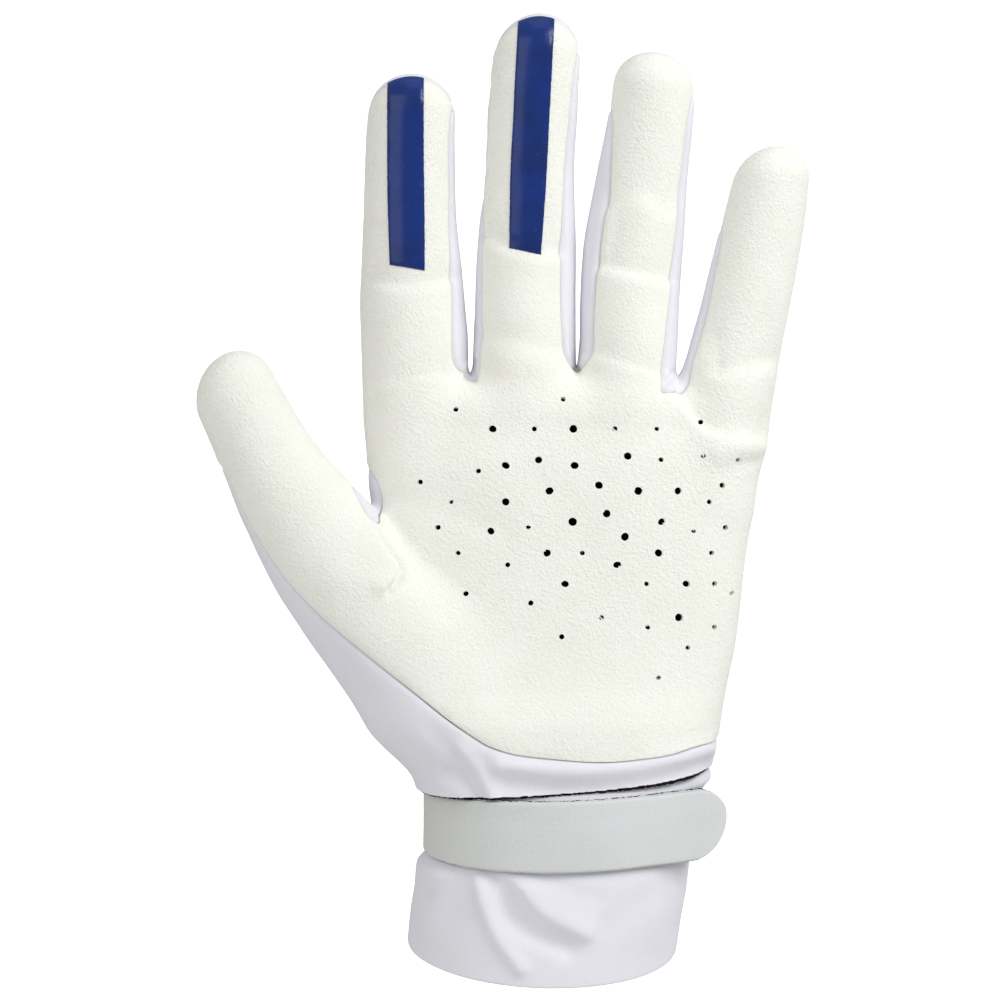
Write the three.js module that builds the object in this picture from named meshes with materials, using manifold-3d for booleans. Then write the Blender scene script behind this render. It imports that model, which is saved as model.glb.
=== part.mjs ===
// A left-hand motocross glove in its worn shape: palm with cut-through vents, hand back, three
// finger gussets, cuff, wrist strap and two rubber finger grips. Millimetres, +Z towards the
// fingertips, the palm facing -Y, the little finger on the +X side. The origin is the centre of
// the cuff's opening.
import * as THREE from "three";
import { mergeVertices } from "three/addons/utils/BufferGeometryUtils.js";
import Module from "manifold-3d";

const wasm = await Module();
wasm.setup();

// Driving dimensions
const WALL = 1.2; // cloth and suede
const GAP = 0.3; // between neighbouring pieces
const HAND_Y = -3; // the hand's middle plane, in front of the cuff opening's centre
const FINGER_SIDES = 12;
const PALM_SIDES = 24;
const CUFF_SIDES = 26;
const PALM_SQUARENESS = 2.6; // exponent of the palm's section: 2 is an ellipse
const VENT_SIDES = 5;
const LARGE_VENT_RADIUS = 1.0;
const SMALL_VENT_RADIUS = 0.65;
const GRIP_THICKNESS = 0.8;
const STRAP_THICKNESS = 1.8;
const STRAP_HALF_HEIGHT = 8.6;
const FAR = 80; // reach of a cutter beyond the glove

// Fingers: a row for each level section, with its centre x and y, half width a and half depth b
const FINGERS = {
  index: {
    tip: 218.5,
    rows: [
      { z: 126, x: -30.9, y: 0, a: 11.5, b: 11 },
      { z: 139.9, x: -31.2, y: 0.3, a: 13.1, b: 12.5 },
      { z: 152.4, x: -31.4, y: 0.5, a: 13.1, b: 12.3 },
      { z: 160.4, x: -31.8, y: 0.5, a: 12.9, b: 12 },
      { z: 168.9, x: -32.1, y: 0.1, a: 12.4, b: 11.3 },
      { z: 185.7, x: -32.5, y: -1.5, a: 11.2, b: 10.3 },
      { z: 200.5, x: -32.4, y: -3.6, a: 10.9, b: 9.7 },
      { z: 208.4, x: -32.1, y: -5, a: 10.7, b: 9.2 },
    ],
  },
  middle: {
    tip: 233.3,
    rows: [
      { z: 126, x: -4, y: 0, a: 12, b: 11 },
      { z: 140.9, x: -4, y: 0.4, a: 12.9, b: 12.8 },
      { z: 152.4, x: -3.8, y: 0.5, a: 12.9, b: 12.6 },
      { z: 163.9, x: -3.7, y: 0.5, a: 12.2, b: 12 },
      { z: 175.8, x: -3.4, y: 0, a: 11.9, b: 11.3 },
      { z: 197.1, x: -2.6, y: -2.2, a: 10.9, b: 10.3 },
      { z: 212.4, x: -1.8, y: -4.6, a: 10.9, b: 9.8 },
      { z: 222.4, x: -1, y: -6.2, a: 10.6, b: 9.3 },
    ],
  },
  ring: {
    tip: 223.8,
    rows: [
      { z: 126, x: 20.9, y: 0, a: 12, b: 11 },
      { z: 140.9, x: 21.2, y: 0.3, a: 12.5, b: 12.5 },
      { z: 152.4, x: 21.8, y: 0.4, a: 12.2, b: 12.2 },
      { z: 163.9, x: 22.4, y: 0.3, a: 12.2, b: 11.6 },
      { z: 174.8, x: 23.2, y: -0.2, a: 12.1, b: 11.2 },
      { z: 191.7, x: 25.1, y: -1.8, a: 11.2, b: 10.3 },
      { z: 205.5, x: 27.2, y: -3.8, a: 10.5, b: 9.6 },
      { z: 213.9, x: 28, y: -5.3, a: 10, b: 9.2 },
    ],
  },
  little: {
    tip: 200.6,
    rows: [
      { z: 118, x: 42.9, y: 0, a: 10.5, b: 10 },
      { z: 126, x: 44.3, y: 0, a: 12.5, b: 12 },
      { z: 134, x: 45.2, y: 0.2, a: 12.3, b: 12 },
      { z: 141.9, x: 46.6, y: 0.4, a: 12, b: 11.5 },
      { z: 149.9, x: 48.6, y: 0.3, a: 11.3, b: 11 },
      { z: 167.8, x: 52.6, y: -0.8, a: 10.7, b: 10.1 },
      { z: 182.2, x: 55.6, y: -2.8, a: 10, b: 9.4 },
      { z: 191.5, x: 57.2, y: -4.4, a: 9.4, b: 8.9 },
    ],
  },
};

// Thumb, from inside the heel of the palm to its tip: sections square to its own line
const THUMB = {
  tip: { x: -79.6, y: -13.2, z: 147.7 },
  rows: [
    { x: -15, y: -1, z: 54.2, a: 11, b: 14 },
    { x: -27.3, y: -2.6, z: 65.4, a: 15.0, b: 15.0 },
    { x: -38.8, y: -5.6, z: 81.2, a: 17.2, b: 15.4 },
    { x: -51.4, y: -8.5, z: 98.3, a: 16.1, b: 14 },
    { x: -62.2, y: -10, z: 113.7, a: 13.3, b: 12 },
    { x: -69.1, y: -11.2, z: 126.3, a: 11.4, b: 10.6 },
    { x: -74.8, y: -12.4, z: 138, a: 10.6, b: 9.6 },
  ],
};

// Palm, a row for each level section: its edges in x, centre y and half depth b
const PALM = [
  { z: 34.2, left: -29.5, right: 40.9, y: 0.3, b: 23.8 },
  { z: 44.2, left: -31.3, right: 42.3, y: 0, b: 22.8 },
  { z: 50.2, left: -35.6, right: 43.9, y: 0, b: 21.4 },
  { z: 56.1, left: -39.4, right: 44.6, y: 0, b: 19.4 },
  { z: 64.1, left: -40.2, right: 45.9, y: 0, b: 17.4 },
  { z: 78.1, left: -40.9, right: 48.7, y: 0, b: 15.9 },
  { z: 93, left: -42.2, right: 50.4, y: 0, b: 15.2 },
  { z: 120, left: -42.2, right: 53.3, y: 0.2, b: 14.8 },
  { z: 131, left: -43.7, right: 54.4, y: 0.3, b: 13.8 },
  { z: 137.9, left: -41.9, right: 52.9, y: 0.3, b: 12.4 },
  { z: 142.4, left: -37.9, right: 41.9, y: 0.3, b: 9.6 },
];

// Sloping planes: z = level + alongX * x + alongY * y
const HEM = { level: 0, alongX: -0.05, alongY: 0.25 };
const STRAP_LINE = { level: 34.8, alongX: 0.03, alongY: 0.175 };
const BODY_EDGE = { level: 44.8, alongX: 0.049, alongY: 0.184 };

// Cuff, a row for each section: its plane's level, its edges in x, centre y and half depth b.
// The planes turn from the hem's slope to the strap's. The strap draws the cuff in.
const CUFF = [
  { level: 0, left: -33.2, right: 34.0, y: 3.0, b: 25.6 },
  { level: 9, left: -32.4, right: 35.4, y: 2.2, b: 25.0 },
  { level: 16, left: -31.4, right: 36.6, y: 1.4, b: 24.2 },
  { level: 22.5, left: -30.9, right: 37.3, y: 0.8, b: 23.4 },
  { level: 25, left: -29.6, right: 37.6, y: 0.6, b: 22.6 },
  { level: 27, left: -27.2, right: 37.6, y: 0.5, b: 21.8 },
  { level: 35, left: -27.0, right: 38.7, y: 0.2, b: 21.6 },
  { level: 41.5, left: -27.4, right: 41.0, y: 0.0, b: 21.2 },
  { level: 44.2, left: -28.4, right: 42.8, y: 0.0, b: 20.6 },
  { level: 46, left: -28.8, right: 40.6, y: 0.0, b: 19.8 },
  { level: 53, left: -28.6, right: 39.4, y: 0.0, b: 17.6 },
];

// Pleats below the strap: direction round the cuff in degrees (270 is the palm side), how far
// each leans over by the hem, its half width in degrees and how far it stands out
const CUFF_PLEATS = [
  { at: 214, lean: -6, width: 9, height: 1.2 },
  { at: 237, lean: 22, width: 7, height: 1.3 },
  { at: 256, lean: 38, width: 8, height: 1.6 },
  { at: 318, lean: 6, width: 10, height: 0.7 },
  { at: 38, lean: 10, width: 10, height: 1.0 },
  { at: 100, lean: 12, width: 9, height: 1.2 },
  { at: 142, lean: -14, width: 9, height: 1.2 },
];
const PLEAT_TOP = 26;

// Seam between the palm's suede and the white cloth, seen from the palm side. back is how far
// behind its middle plane the suede wraps round the part.
const HEEL_SEAM = [
  { z: 48.5, left: 10.7, right: 18.6 },
  { z: 50.1, left: -6.1, right: 31.4 },
  { z: 52.3, left: -13, right: 38.8 },
  { z: 54.8, left: -16.9, right: 49.1 },
  { z: 58.8, left: -22.8, right: 59 },
  { z: 64.7, left: -30.2, right: 59 },
  { z: 70.6, left: -37.8, right: 59 },
  { z: 95.6, left: -38, right: 63 },
];
const HAND_SEAM = [
  { z: 94, left: -45.6, right: 63.3 },
  { z: 107.1, left: -39.9, right: 63.3 },
  { z: 113, left: -39.5, right: 63.3 },
  { z: 119.9, left: -42.3, right: 65.2 },
  { z: 123.9, left: -47.6, right: 65.2 },
  { z: 136.3, left: -47.6, right: 65.2 },
];
const THUMB_SEAM = [
  { z: 69.4, left: -36.3, right: -34 },
  { z: 76.7, left: -45.5, right: -34 },
  { z: 82.8, left: -52.8, right: -34 },
  { z: 88.8, left: -58.9, right: -36 },
  { z: 94.9, left: -64.3, right: -36.5 },
  { z: 101.1, left: -68.3, right: -39.6 },
  { z: 107.1, left: -72, right: -39.6 },
  { z: 113, left: -74.8, right: -44.6 },
  { z: 119.4, left: -77.7, right: -46.5 },
  { z: 125.8, left: -82.5, right: -49.5 },
  { z: 137.7, left: -91, right: -54.4 },
  { z: 159.4, left: -98, right: -54.4 },
];
const FINGER_SEAMS = {
  index: [
    { z: 133.8, left: -49.6, right: -19.1 },
    { z: 141.9, left: -49.6, right: -18.8 },
    { z: 146.2, left: -49.6, right: -21.8 },
    { z: 164.5, left: -49.6, right: -21.7 },
    { z: 175.4, left: -49.6, right: -22.5 },
    { z: 207.1, left: -49.6, right: -22.7 },
    { z: 213.1, left: -49.6, right: -19.9 },
    { z: 224, left: -49.6, right: -14 },
  ],
  middle: [
    { z: 133.8, left: -18.7, right: 9.8 },
    { z: 141.9, left: -18.4, right: 9.4 },
    { z: 146.2, left: -15.2, right: 6.2 },
    { z: 163.5, left: -14.6, right: 5.1 },
    { z: 179.4, left: -14.6, right: 5.3 },
    { z: 196.2, left: -13.5, right: 6.2 },
    { z: 216, left: -12.2, right: 8 },
    { z: 238.8, left: -14, right: 11.8 },
  ],
  ring: [
    { z: 133.8, left: 9, right: 33 },
    { z: 139.8, left: 9.6, right: 32.2 },
    { z: 146.2, left: 12, right: 30.2 },
    { z: 159.6, left: 13.3, right: 31.8 },
    { z: 170.5, left: 14, right: 33.4 },
    { z: 191.3, left: 17, right: 35 },
    { z: 207.1, left: 18.1, right: 36.4 },
    { z: 228.9, left: 14.8, right: 41.5 },
  ],
  little: [
    { z: 125.9, left: 33.6, right: 65.3 },
    { z: 137.4, left: 34.2, right: 65.3 },
    { z: 142.2, left: 36.5, right: 65.3 },
    { z: 152.6, left: 39.4, right: 67.3 },
    { z: 167.5, left: 42.9, right: 69.3 },
    { z: 177.4, left: 45.1, right: 71.2 },
    { z: 189.3, left: 45.7, right: 73.2 },
    { z: 205.1, left: 41.5, right: 75.2 },
  ],
};
const SUEDE_WRAP = 1.0; // behind a part's middle plane
const GUSSET_BACK = 4.6; // where a gusset meets the hand back, behind the finger's middle plane

// Gussets: the two fingers each one joins and where it ends on each, with the crotch's place
const GUSSETS = [
  { near: "index", far: "middle", middleX: -17.9, crotch: 144.6, nearEnd: 211, farEnd: 222 },
  { near: "middle", far: "ring", middleX: 9.6, crotch: 145.6, nearEnd: 224, farEnd: 216 },
  { near: "ring", far: "little", middleX: 34.2, crotch: 140.2, nearEnd: 214, farEnd: 190 },
];

// Vents through the palm, row by row from the fingers to the heel
const VENTS = [
  { z: 137.6, small: [5.6] },
  { z: 135.1, small: [-20.9] },
  { z: 132.1, small: [39.4] },
  { z: 130.3, small: [-1.5, 18.3, 28.7], large: [-11.8, 8.1] },
  { z: 123.6, small: [40.2], large: [21.5] },
  { z: 122.7, small: [48.8, 29.7], large: [-0.5] },
  { z: 121.3, large: [-8.6, 8.4] },
  { z: 119.9, small: [-15.3] },
  { z: 117.2, small: [-29.7] },
  { z: 116.4, small: [44.8], large: [14.4] },
  { z: 115, large: [33.9, 24.1, 2.2] },
  { z: 112.3, small: [-22, 41.6], large: [-8.6] },
  { z: 109.4, large: [16.3] },
  { z: 107.4, large: [29.8, 7.9] },
  { z: 106, small: [45.6, -3, -25.3] },
  { z: 105.1, small: [37.7], large: [-12.3] },
  { z: 103.7, large: [20.8] },
  { z: 99.7, small: [42.1, -20.3, 10.3], large: [1.6, 29.1] },
  { z: 96.8, small: [-8.1], large: [18.9] },
  { z: 92.1, small: [42.8, 26.1], large: [6, 35.9] },
  { z: 89.7, small: [47.2, -18.4] },
  { z: 87.4, small: [-2.4] },
  { z: 83.8, small: [15], large: [34.1] },
  { z: 81.4, small: [26.4, 42.8] },
  { z: 79.1, small: [5.2] },
  { z: 76.3, small: [36.3] },
  { z: 69, small: [29] },
];

// Rubber grips, seen from the palm side
const GRIPS = {
  index: [
    { z: 170.6, left: -37.5, right: -28.5 },
    { z: 198.8, left: -37.7, right: -28.9 },
    { z: 224.4, left: -37.6, right: -28.9 },
  ],
  middle: [
    { z: 174.7, left: -8.1, right: 0.5 },
    { z: 203.7, left: -6.8, right: 1.9 },
    { z: 238.2, left: -5, right: 3.7 },
  ],
};

// The strap: from its sewn end on the back, round the thumb side and over the palm side, then
// straight on as a free tab. Angles run round the cuff, 270 being the palm side.
const STRAP_FROM = 48;
const STRAP_LEAVES = 302;
const STRAP_STEPS = 26;
const TAB_LENGTH = 22;
const TAB_STEPS = 10;
const TAB_TURN = 0.006; // radians for each millimetre, towards the back
const TAB_RISE = 0.08;

// A closed solid through a list of rings with equal counts; a top point closes a domed end
function loftGeometry(rings, apex) {
  const sides = rings[0].length;
  const points = rings.flat();
  const index = [];
  for (let level = 0; level + 1 < rings.length; level++) {
    for (let i = 0; i < sides; i++) {
      const a = level * sides + i;
      const b = level * sides + ((i + 1) % sides);
      index.push(a, b, b + sides, a, b + sides, a + sides);
    }
  }
  const bottom = points.push(centroid(rings[0])) - 1;
  const top = points.push(apex ?? centroid(rings.at(-1))) - 1;
  const last = (rings.length - 1) * sides;
  for (let i = 0; i < sides; i++) {
    const next = (i + 1) % sides;
    index.push(bottom, next, i, top, last + i, last + next);
  }
  const geometry = new THREE.BufferGeometry().setFromPoints(points);
  return geometry.setIndex(index);
}

function centroid(points) {
  const sum = new THREE.Vector3();
  points.forEach((p) => sum.add(p));
  return sum.divideScalar(points.length);
}

function solidOf(geometry) {
  for (const name of ["normal", "uv"]) geometry.deleteAttribute(name);
  const merged = mergeVertices(geometry, 1e-4);
  return new wasm.Manifold(
    new wasm.Mesh({
      numProp: 3,
      vertProperties: new Float32Array(merged.attributes.position.array),
      triVerts: new Uint32Array(merged.index.array),
    }),
  );
}

const loft = (rings, apex) => solidOf(loftGeometry(rings, apex));
const union = (solids) => solids.reduce((sum, solid) => sum.add(solid));

// A value read between the rows of a table, at a height or another key
function between(rows, at, column, key = "z") {
  const last = rows.length - 1;
  let i = rows.findIndex((row) => row[key] > at);
  if (i < 0) i = last;
  if (i === 0) i = 1;
  const step = rows[i][key] - rows[i - 1][key];
  const t = THREE.MathUtils.clamp((at - rows[i - 1][key]) / step, 0, 1);
  return THREE.MathUtils.lerp(rows[i - 1][column], rows[i][column], t);
}

// Points round a section in the plane of the unit vectors across and back
function sectionRing(centre, a, b, sides, across, back, squareness = 2) {
  const power = 2 / squareness;
  return Array.from({ length: sides }, (_, i) => {
    const angle = (2 * Math.PI * i) / sides;
    const c = Math.cos(angle);
    const s = Math.sin(angle);
    return centre
      .clone()
      .addScaledVector(across, a * Math.sign(c) * Math.abs(c) ** power)
      .addScaledVector(back, b * Math.sign(s) * Math.abs(s) ** power);
  });
}

const ACROSS = new THREE.Vector3(1, 0, 0);
const BACK = new THREE.Vector3(0, 1, 0);
const DOME_ANGLES = [30, 60];

// The rings that close a limb in a dome, and its top point
function domeRings(row, tip, grow, sides, across, back) {
  const foot = new THREE.Vector3(row.x, row.y, row.z);
  const rise = tip.clone().sub(foot);
  rise.setLength(rise.length() + grow);
  const rings = DOME_ANGLES.map((degrees) => {
    const angle = THREE.MathUtils.degToRad(degrees);
    const centre = foot.clone().addScaledVector(rise, Math.sin(angle));
    const shrink = Math.cos(angle);
    return sectionRing(centre, (row.a + grow) * shrink, (row.b + grow) * shrink, sides, across, back);
  });
  return { rings, apex: foot.add(rise) };
}

// A finger, grown outwards all round by grow
function fingerSolid(finger, grow = 0) {
  const rows = finger.rows.map((row) => ({ ...row, y: row.y + HAND_Y }));
  const rings = rows.map((row) =>
    sectionRing(
      new THREE.Vector3(row.x, row.y, row.z),
      row.a + grow,
      row.b + grow,
      FINGER_SIDES,
      ACROSS,
      BACK,
    ),
  );
  const last = rows.at(-1);
  const lean = (last.y - rows.at(-2).y) / (last.z - rows.at(-2).z);
  const tip = new THREE.Vector3(last.x, last.y + lean * (finger.tip - last.z), finger.tip);
  const dome = domeRings(last, tip, grow, FINGER_SIDES, ACROSS, BACK);
  return loft([...rings, ...dome.rings], dome.apex);
}

// The thumb with the ball of the thumb, sections square to its line
function thumbSolid(grow = 0) {
  const rows = THUMB.rows.map((row) => ({ ...row, y: row.y + HAND_Y }));
  const tip = new THREE.Vector3(THUMB.tip.x, THUMB.tip.y + HAND_Y, THUMB.tip.z);
  const centres = rows.map((row) => new THREE.Vector3(row.x, row.y, row.z));
  const line = [...centres, tip];
  let across = ACROSS;
  let back = BACK;
  const rings = rows.map((row, i) => {
    const before = line[Math.max(i - 1, 0)];
    const along = line[i + 1].clone().sub(before).normalize();
    back = BACK.clone().addScaledVector(along, -along.y).normalize();
    across = back.clone().cross(along);
    return sectionRing(centres[i], row.a + grow, row.b + grow, FINGER_SIDES, across, back);
  });
  const dome = domeRings(rows.at(-1), tip, grow, FINGER_SIDES, across, back);
  return loft([...rings, ...dome.rings], dome.apex);
}

function palmSolid(grow = 0) {
  const last = PALM.length - 1;
  const rings = PALM.map((row, i) => {
    const z = row.z + (i === last ? grow : 0);
    const centre = new THREE.Vector3((row.left + row.right) / 2, row.y + HAND_Y, z);
    const a = (row.right - row.left) / 2 + grow;
    return sectionRing(centre, a, row.b + grow, PALM_SIDES, ACROSS, BACK, PALM_SQUARENESS);
  });
  return loft(rings);
}

// How far the cuff's pleats stand out at a direction and a level
function pleatHeight(degrees, level) {
  const down = THREE.MathUtils.clamp(1 - level / PLEAT_TOP, 0, 1);
  const swell = Math.sin(Math.PI * Math.min(1, 1.25 * down)) ** 0.7;
  return CUFF_PLEATS.reduce((sum, pleat) => {
    const away = (degrees - pleat.at - pleat.lean * down) / pleat.width;
    return sum + (down > 0 ? pleat.height * swell * Math.exp(-away * away) : 0);
  }, 0);
}

// A point of the cuff's outside, in the sloping plane of its level
function cuffPoint(degrees, level, out) {
  const angle = THREE.MathUtils.degToRad(degrees);
  const read = (column) => between(CUFF, level, column, "level");
  const x = (read("left") + read("right")) / 2 + ((read("right") - read("left")) / 2 + out) * Math.cos(angle);
  const y = read("y") + HAND_Y + (read("b") + out) * Math.sin(angle);
  const t = THREE.MathUtils.clamp(level / STRAP_LINE.level, 0, 1);
  const alongX = THREE.MathUtils.lerp(HEM.alongX, STRAP_LINE.alongX, t);
  const alongY = THREE.MathUtils.lerp(HEM.alongY, STRAP_LINE.alongY, t);
  return new THREE.Vector3(x, y, level + alongX * x + alongY * y);
}

function cuffTube(grow, reach) {
  const heights = [-reach, 5, 10, 16, 21, 25, 27, 35, 41.5, 44.2, 46, CUFF.at(-1).level + reach];
  return loft(
    heights.map((level) =>
      Array.from({ length: CUFF_SIDES }, (_, i) => {
        const degrees = (360 * i) / CUFF_SIDES;
        return cuffPoint(degrees, level, grow + pleatHeight(degrees, level));
      }),
    ),
  );
}

// Everything below a sloping cut
function below(cut) {
  const corner = (x, y) => new THREE.Vector3(x, y, cut.level + cut.alongX * x + cut.alongY * y);
  const corners = [corner(-2 * FAR, -FAR), corner(2 * FAR, -FAR), corner(2 * FAR, FAR), corner(-2 * FAR, FAR)];
  return loft([corners.map((p) => p.clone().setZ(-FAR)), corners]);
}

// A cutter from a seam's rows: between left and right, from in front to the depth back(z)
function seamCutter(rows, depth, grow) {
  const rings = rows.map((row, i) => {
    const end = i === 0 ? -grow : i === rows.length - 1 ? grow : 0;
    const z = row.z + end;
    const y = depth(row.z) + HAND_Y + grow;
    return [
      new THREE.Vector3(row.left - grow, -FAR, z),
      new THREE.Vector3(row.right + grow, -FAR, z),
      new THREE.Vector3(row.right + grow, y, z),
      new THREE.Vector3(row.left - grow, y, z),
    ];
  });
  return loft(rings);
}

function suedeRegion(grow) {
  const regions = Object.entries(FINGER_SEAMS).map(([name, rows]) =>
    seamCutter(rows, (z) => between(FINGERS[name].rows, z, "y") + SUEDE_WRAP, grow),
  );
  const thumbDepth = (z) => between(THUMB.rows, z, "y") + SUEDE_WRAP;
  return union([
    ...regions,
    seamCutter(HEEL_SEAM, () => 0, grow),
    seamCutter(HAND_SEAM, () => SUEDE_WRAP, grow),
    seamCutter(THUMB_SEAM, thumbDepth, grow),
  ]);
}

// The space of one gusset: down one finger's side, across the crotch and up the next
function gussetRegion(gusset, grow) {
  const side = (name, end, sign) => {
    const { rows } = FINGERS[name];
    const inside = (z) => between(rows, z, "x") + sign * 0.45 * between(rows, z, "a");
    const heights = [gusset.crotch - 5, gusset.crotch + 6, (gusset.crotch + end) / 2, end];
    const seam = heights.map((z) => {
      const edges = [inside(z), gusset.middleX + between(rows, z, "x") - between(rows, gusset.crotch, "x")];
      const outer = z < gusset.crotch + 10 ? gusset.middleX + sign * 0.5 : edges[1] + sign * 9;
      return { z, left: Math.min(edges[0], outer), right: Math.max(edges[0], outer) };
    });
    return seamCutter(seam, (z) => between(rows, z, "y") + GUSSET_BACK, grow);
  };
  return side(gusset.near, gusset.nearEnd, 1).add(side(gusset.far, gusset.farEnd, -1));
}

function ventPins() {
  const pins = VENTS.flatMap(({ z, small = [], large = [] }) => [
    ...small.map((x) => ({ x, z, r: SMALL_VENT_RADIUS })),
    ...large.map((x) => ({ x, z, r: LARGE_VENT_RADIUS })),
  ]);
  return union(
    pins.map(({ x, z, r }) => {
      const pin = new THREE.CylinderGeometry(r, r, FAR, VENT_SIDES);
      pin.translate(x, -FAR / 2, z);
      return solidOf(pin.toNonIndexed());
    }),
  );
}

function gripSolid(name) {
  const finger = FINGERS[name];
  const skin = fingerSolid(finger, GAP + GRIP_THICKNESS).subtract(fingerSolid(finger, GAP));
  return skin.intersect(seamCutter(GRIPS[name], (z) => between(finger.rows, z, "y") - 1, 0));
}

// The strap lies round the cuff as a band; its rings run up the band and back down
function strapSolid() {
  const levels = [-1, -0.35, 0.35, 1].map((h) => STRAP_LINE.level + h * STRAP_HALF_HEIGHT);
  const ringAt = (degrees) => {
    const inner = levels.map((level) => cuffPoint(degrees, level, GAP));
    const outer = levels.map((level) => cuffPoint(degrees, level, GAP + STRAP_THICKNESS));
    return [...inner, ...outer.reverse()];
  };
  const rings = Array.from({ length: STRAP_STEPS + 1 }, (_, i) =>
    ringAt(THREE.MathUtils.lerp(STRAP_FROM, STRAP_LEAVES, i / STRAP_STEPS)),
  );
  // The free tab goes straight on from the last ring, turning slowly, to a round end
  const middle = centroid(rings.at(-1));
  const shift = middle.clone().sub(centroid(rings.at(-2)));
  const heading = Math.atan2(shift.y, shift.x);
  const half = levels.length;
  for (let i = 1; i <= TAB_STEPS; i++) {
    const along = TAB_LENGTH * Math.sin((Math.PI * i) / (2 * TAB_STEPS));
    const turned = heading + (TAB_TURN * along) / 2;
    const travelled = new THREE.Vector3(Math.cos(turned), Math.sin(turned), TAB_RISE);
    const out = new THREE.Vector3(Math.sin(turned), -Math.cos(turned), 0);
    const reach = Math.min(1, (TAB_LENGTH - along) / STRAP_HALF_HEIGHT);
    const height = Math.max(0.1, Math.sqrt(1 - (1 - reach) ** 2));
    rings.push(
      [...levels, ...levels.toReversed()].map((level, k) =>
        middle
          .clone()
          .addScaledVector(travelled, along)
          .addScaledVector(out, (k < half ? -0.5 : 0.5) * STRAP_THICKNESS)
          .add(new THREE.Vector3(0, 0, (level - STRAP_LINE.level) * height)),
      ),
    );
  }
  return loft(rings);
}

// A solid without the crumbs that a cut can leave beside it
function largest(solid) {
  return solid.decompose().reduce((best, piece) => (piece.volume() > best.volume() ? piece : best));
}

const MATERIALS = {
  suede: { color: 0xf2f2e6, roughness: 0.95 },
  stretch_cloth: { color: 0xf1f1f7, roughness: 0.8 },
  strap_leather: { color: 0xd3d6d5, roughness: 0.65 },
  grip_rubber: { color: 0x16327f, roughness: 0.3 },
};

function meshOf(name, solid, slot) {
  const { vertProperties, numProp, triVerts } = largest(solid).getMesh();
  const geometry = new THREE.BufferGeometry();
  const vertices = new THREE.InterleavedBuffer(vertProperties, numProp);
  const position = new THREE.Float32BufferAttribute((vertProperties.length / numProp) * 3, 3);
  for (let i = 0; i < position.count; i++) {
    position.setXYZ(i, ...vertices.array.slice(i * numProp, i * numProp + 3));
  }
  geometry.setAttribute("position", position);
  geometry.setIndex(new THREE.BufferAttribute(new Uint32Array(triVerts), 1));
  geometry.computeVertexNormals();
  const mesh = new THREE.Mesh(geometry, new THREE.MeshStandardMaterial({ ...MATERIALS[slot], metalness: 0 }));
  mesh.name = name;
  return mesh;
}

const limbs = (grow) => [
  palmSolid(grow),
  thumbSolid(grow),
  ...Object.values(FINGERS).map((finger) => fingerSolid(finger, grow)),
];
const shell = union(limbs(0)).subtract(union(limbs(-WALL))).subtract(below(BODY_EDGE));
const palmPanel = shell.intersect(suedeRegion(-GAP / 2)).subtract(ventPins());
const cloth = shell.subtract(suedeRegion(GAP / 2));
const gussets = GUSSETS.map((gusset) => cloth.intersect(gussetRegion(gusset, -GAP / 2)));
const handBack = cloth.subtract(union(GUSSETS.map((gusset) => gussetRegion(gusset, GAP / 2))));
const cuff = cuffTube(0, 0).subtract(cuffTube(-WALL, 2));

const glove = new THREE.Group();
glove.add(meshOf("palm_panel", palmPanel, "suede"));
glove.add(meshOf("hand_back", handBack, "stretch_cloth"));
GUSSETS.forEach(({ near, far }, i) => glove.add(meshOf(`gusset_${near}_${far}`, gussets[i], "stretch_cloth")));
glove.add(meshOf("cuff", cuff, "stretch_cloth"));
glove.add(meshOf("wrist_strap", strapSolid(), "strap_leather"));
for (const name of Object.keys(GRIPS)) glove.add(meshOf(`grip_${name}`, gripSolid(name), "grip_rubber"));

export default glove;
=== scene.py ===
"""Looks of a left-hand motocross glove, seen from the palm side.

Lengths are millimetres until a mesh is made; the frame is the CAD model's: +Z towards the
fingertips, the palm facing -Y, the little finger on the +X side.
"""

import logging
import math
from collections.abc import Callable, Iterable, Sequence
from dataclasses import dataclass, field
from enum import Enum
from typing import Any, NamedTuple, Union

import bpy
import numpy as np
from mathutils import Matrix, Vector


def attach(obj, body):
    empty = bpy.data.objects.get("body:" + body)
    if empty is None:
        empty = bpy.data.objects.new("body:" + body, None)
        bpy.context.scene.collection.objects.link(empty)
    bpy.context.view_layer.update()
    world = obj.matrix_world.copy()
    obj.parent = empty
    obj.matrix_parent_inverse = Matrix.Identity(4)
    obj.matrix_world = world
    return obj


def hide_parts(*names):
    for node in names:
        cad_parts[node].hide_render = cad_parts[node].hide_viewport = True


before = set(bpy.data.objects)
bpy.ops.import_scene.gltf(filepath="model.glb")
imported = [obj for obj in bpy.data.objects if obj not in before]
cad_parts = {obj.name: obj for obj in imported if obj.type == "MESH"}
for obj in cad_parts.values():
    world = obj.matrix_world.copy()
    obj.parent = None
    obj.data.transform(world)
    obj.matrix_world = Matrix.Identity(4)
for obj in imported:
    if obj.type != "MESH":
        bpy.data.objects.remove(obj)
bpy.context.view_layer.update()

LOG = logging.getLogger("glove")
MM = 0.001

Array = np.ndarray
Rows = Sequence[tuple[float, ...]]
Points = Sequence[tuple[float, float]]
Colour = tuple[float, float, float]
Field = Callable[[Array], Array]

HAND_Y = -3.0  # the hand's middle plane, in front of the cuff opening's centre
WALL = 1.2
GAP = 0.3
FAR_FROM_SEAM = 5.0
SHARP_DEGREES = 52.0
SEED = 5201


class Slot(str, Enum):
    """The record's material slots."""

    SUEDE = "suede"
    CLOTH = "stretch_cloth"
    LEATHER = "strap_leather"
    RUBBER = "grip_rubber"


class Face(Enum):
    """The side of the glove that a fold lies on, as the sign of its outward y."""

    PALM = -1.0
    BACK = 1.0


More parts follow.
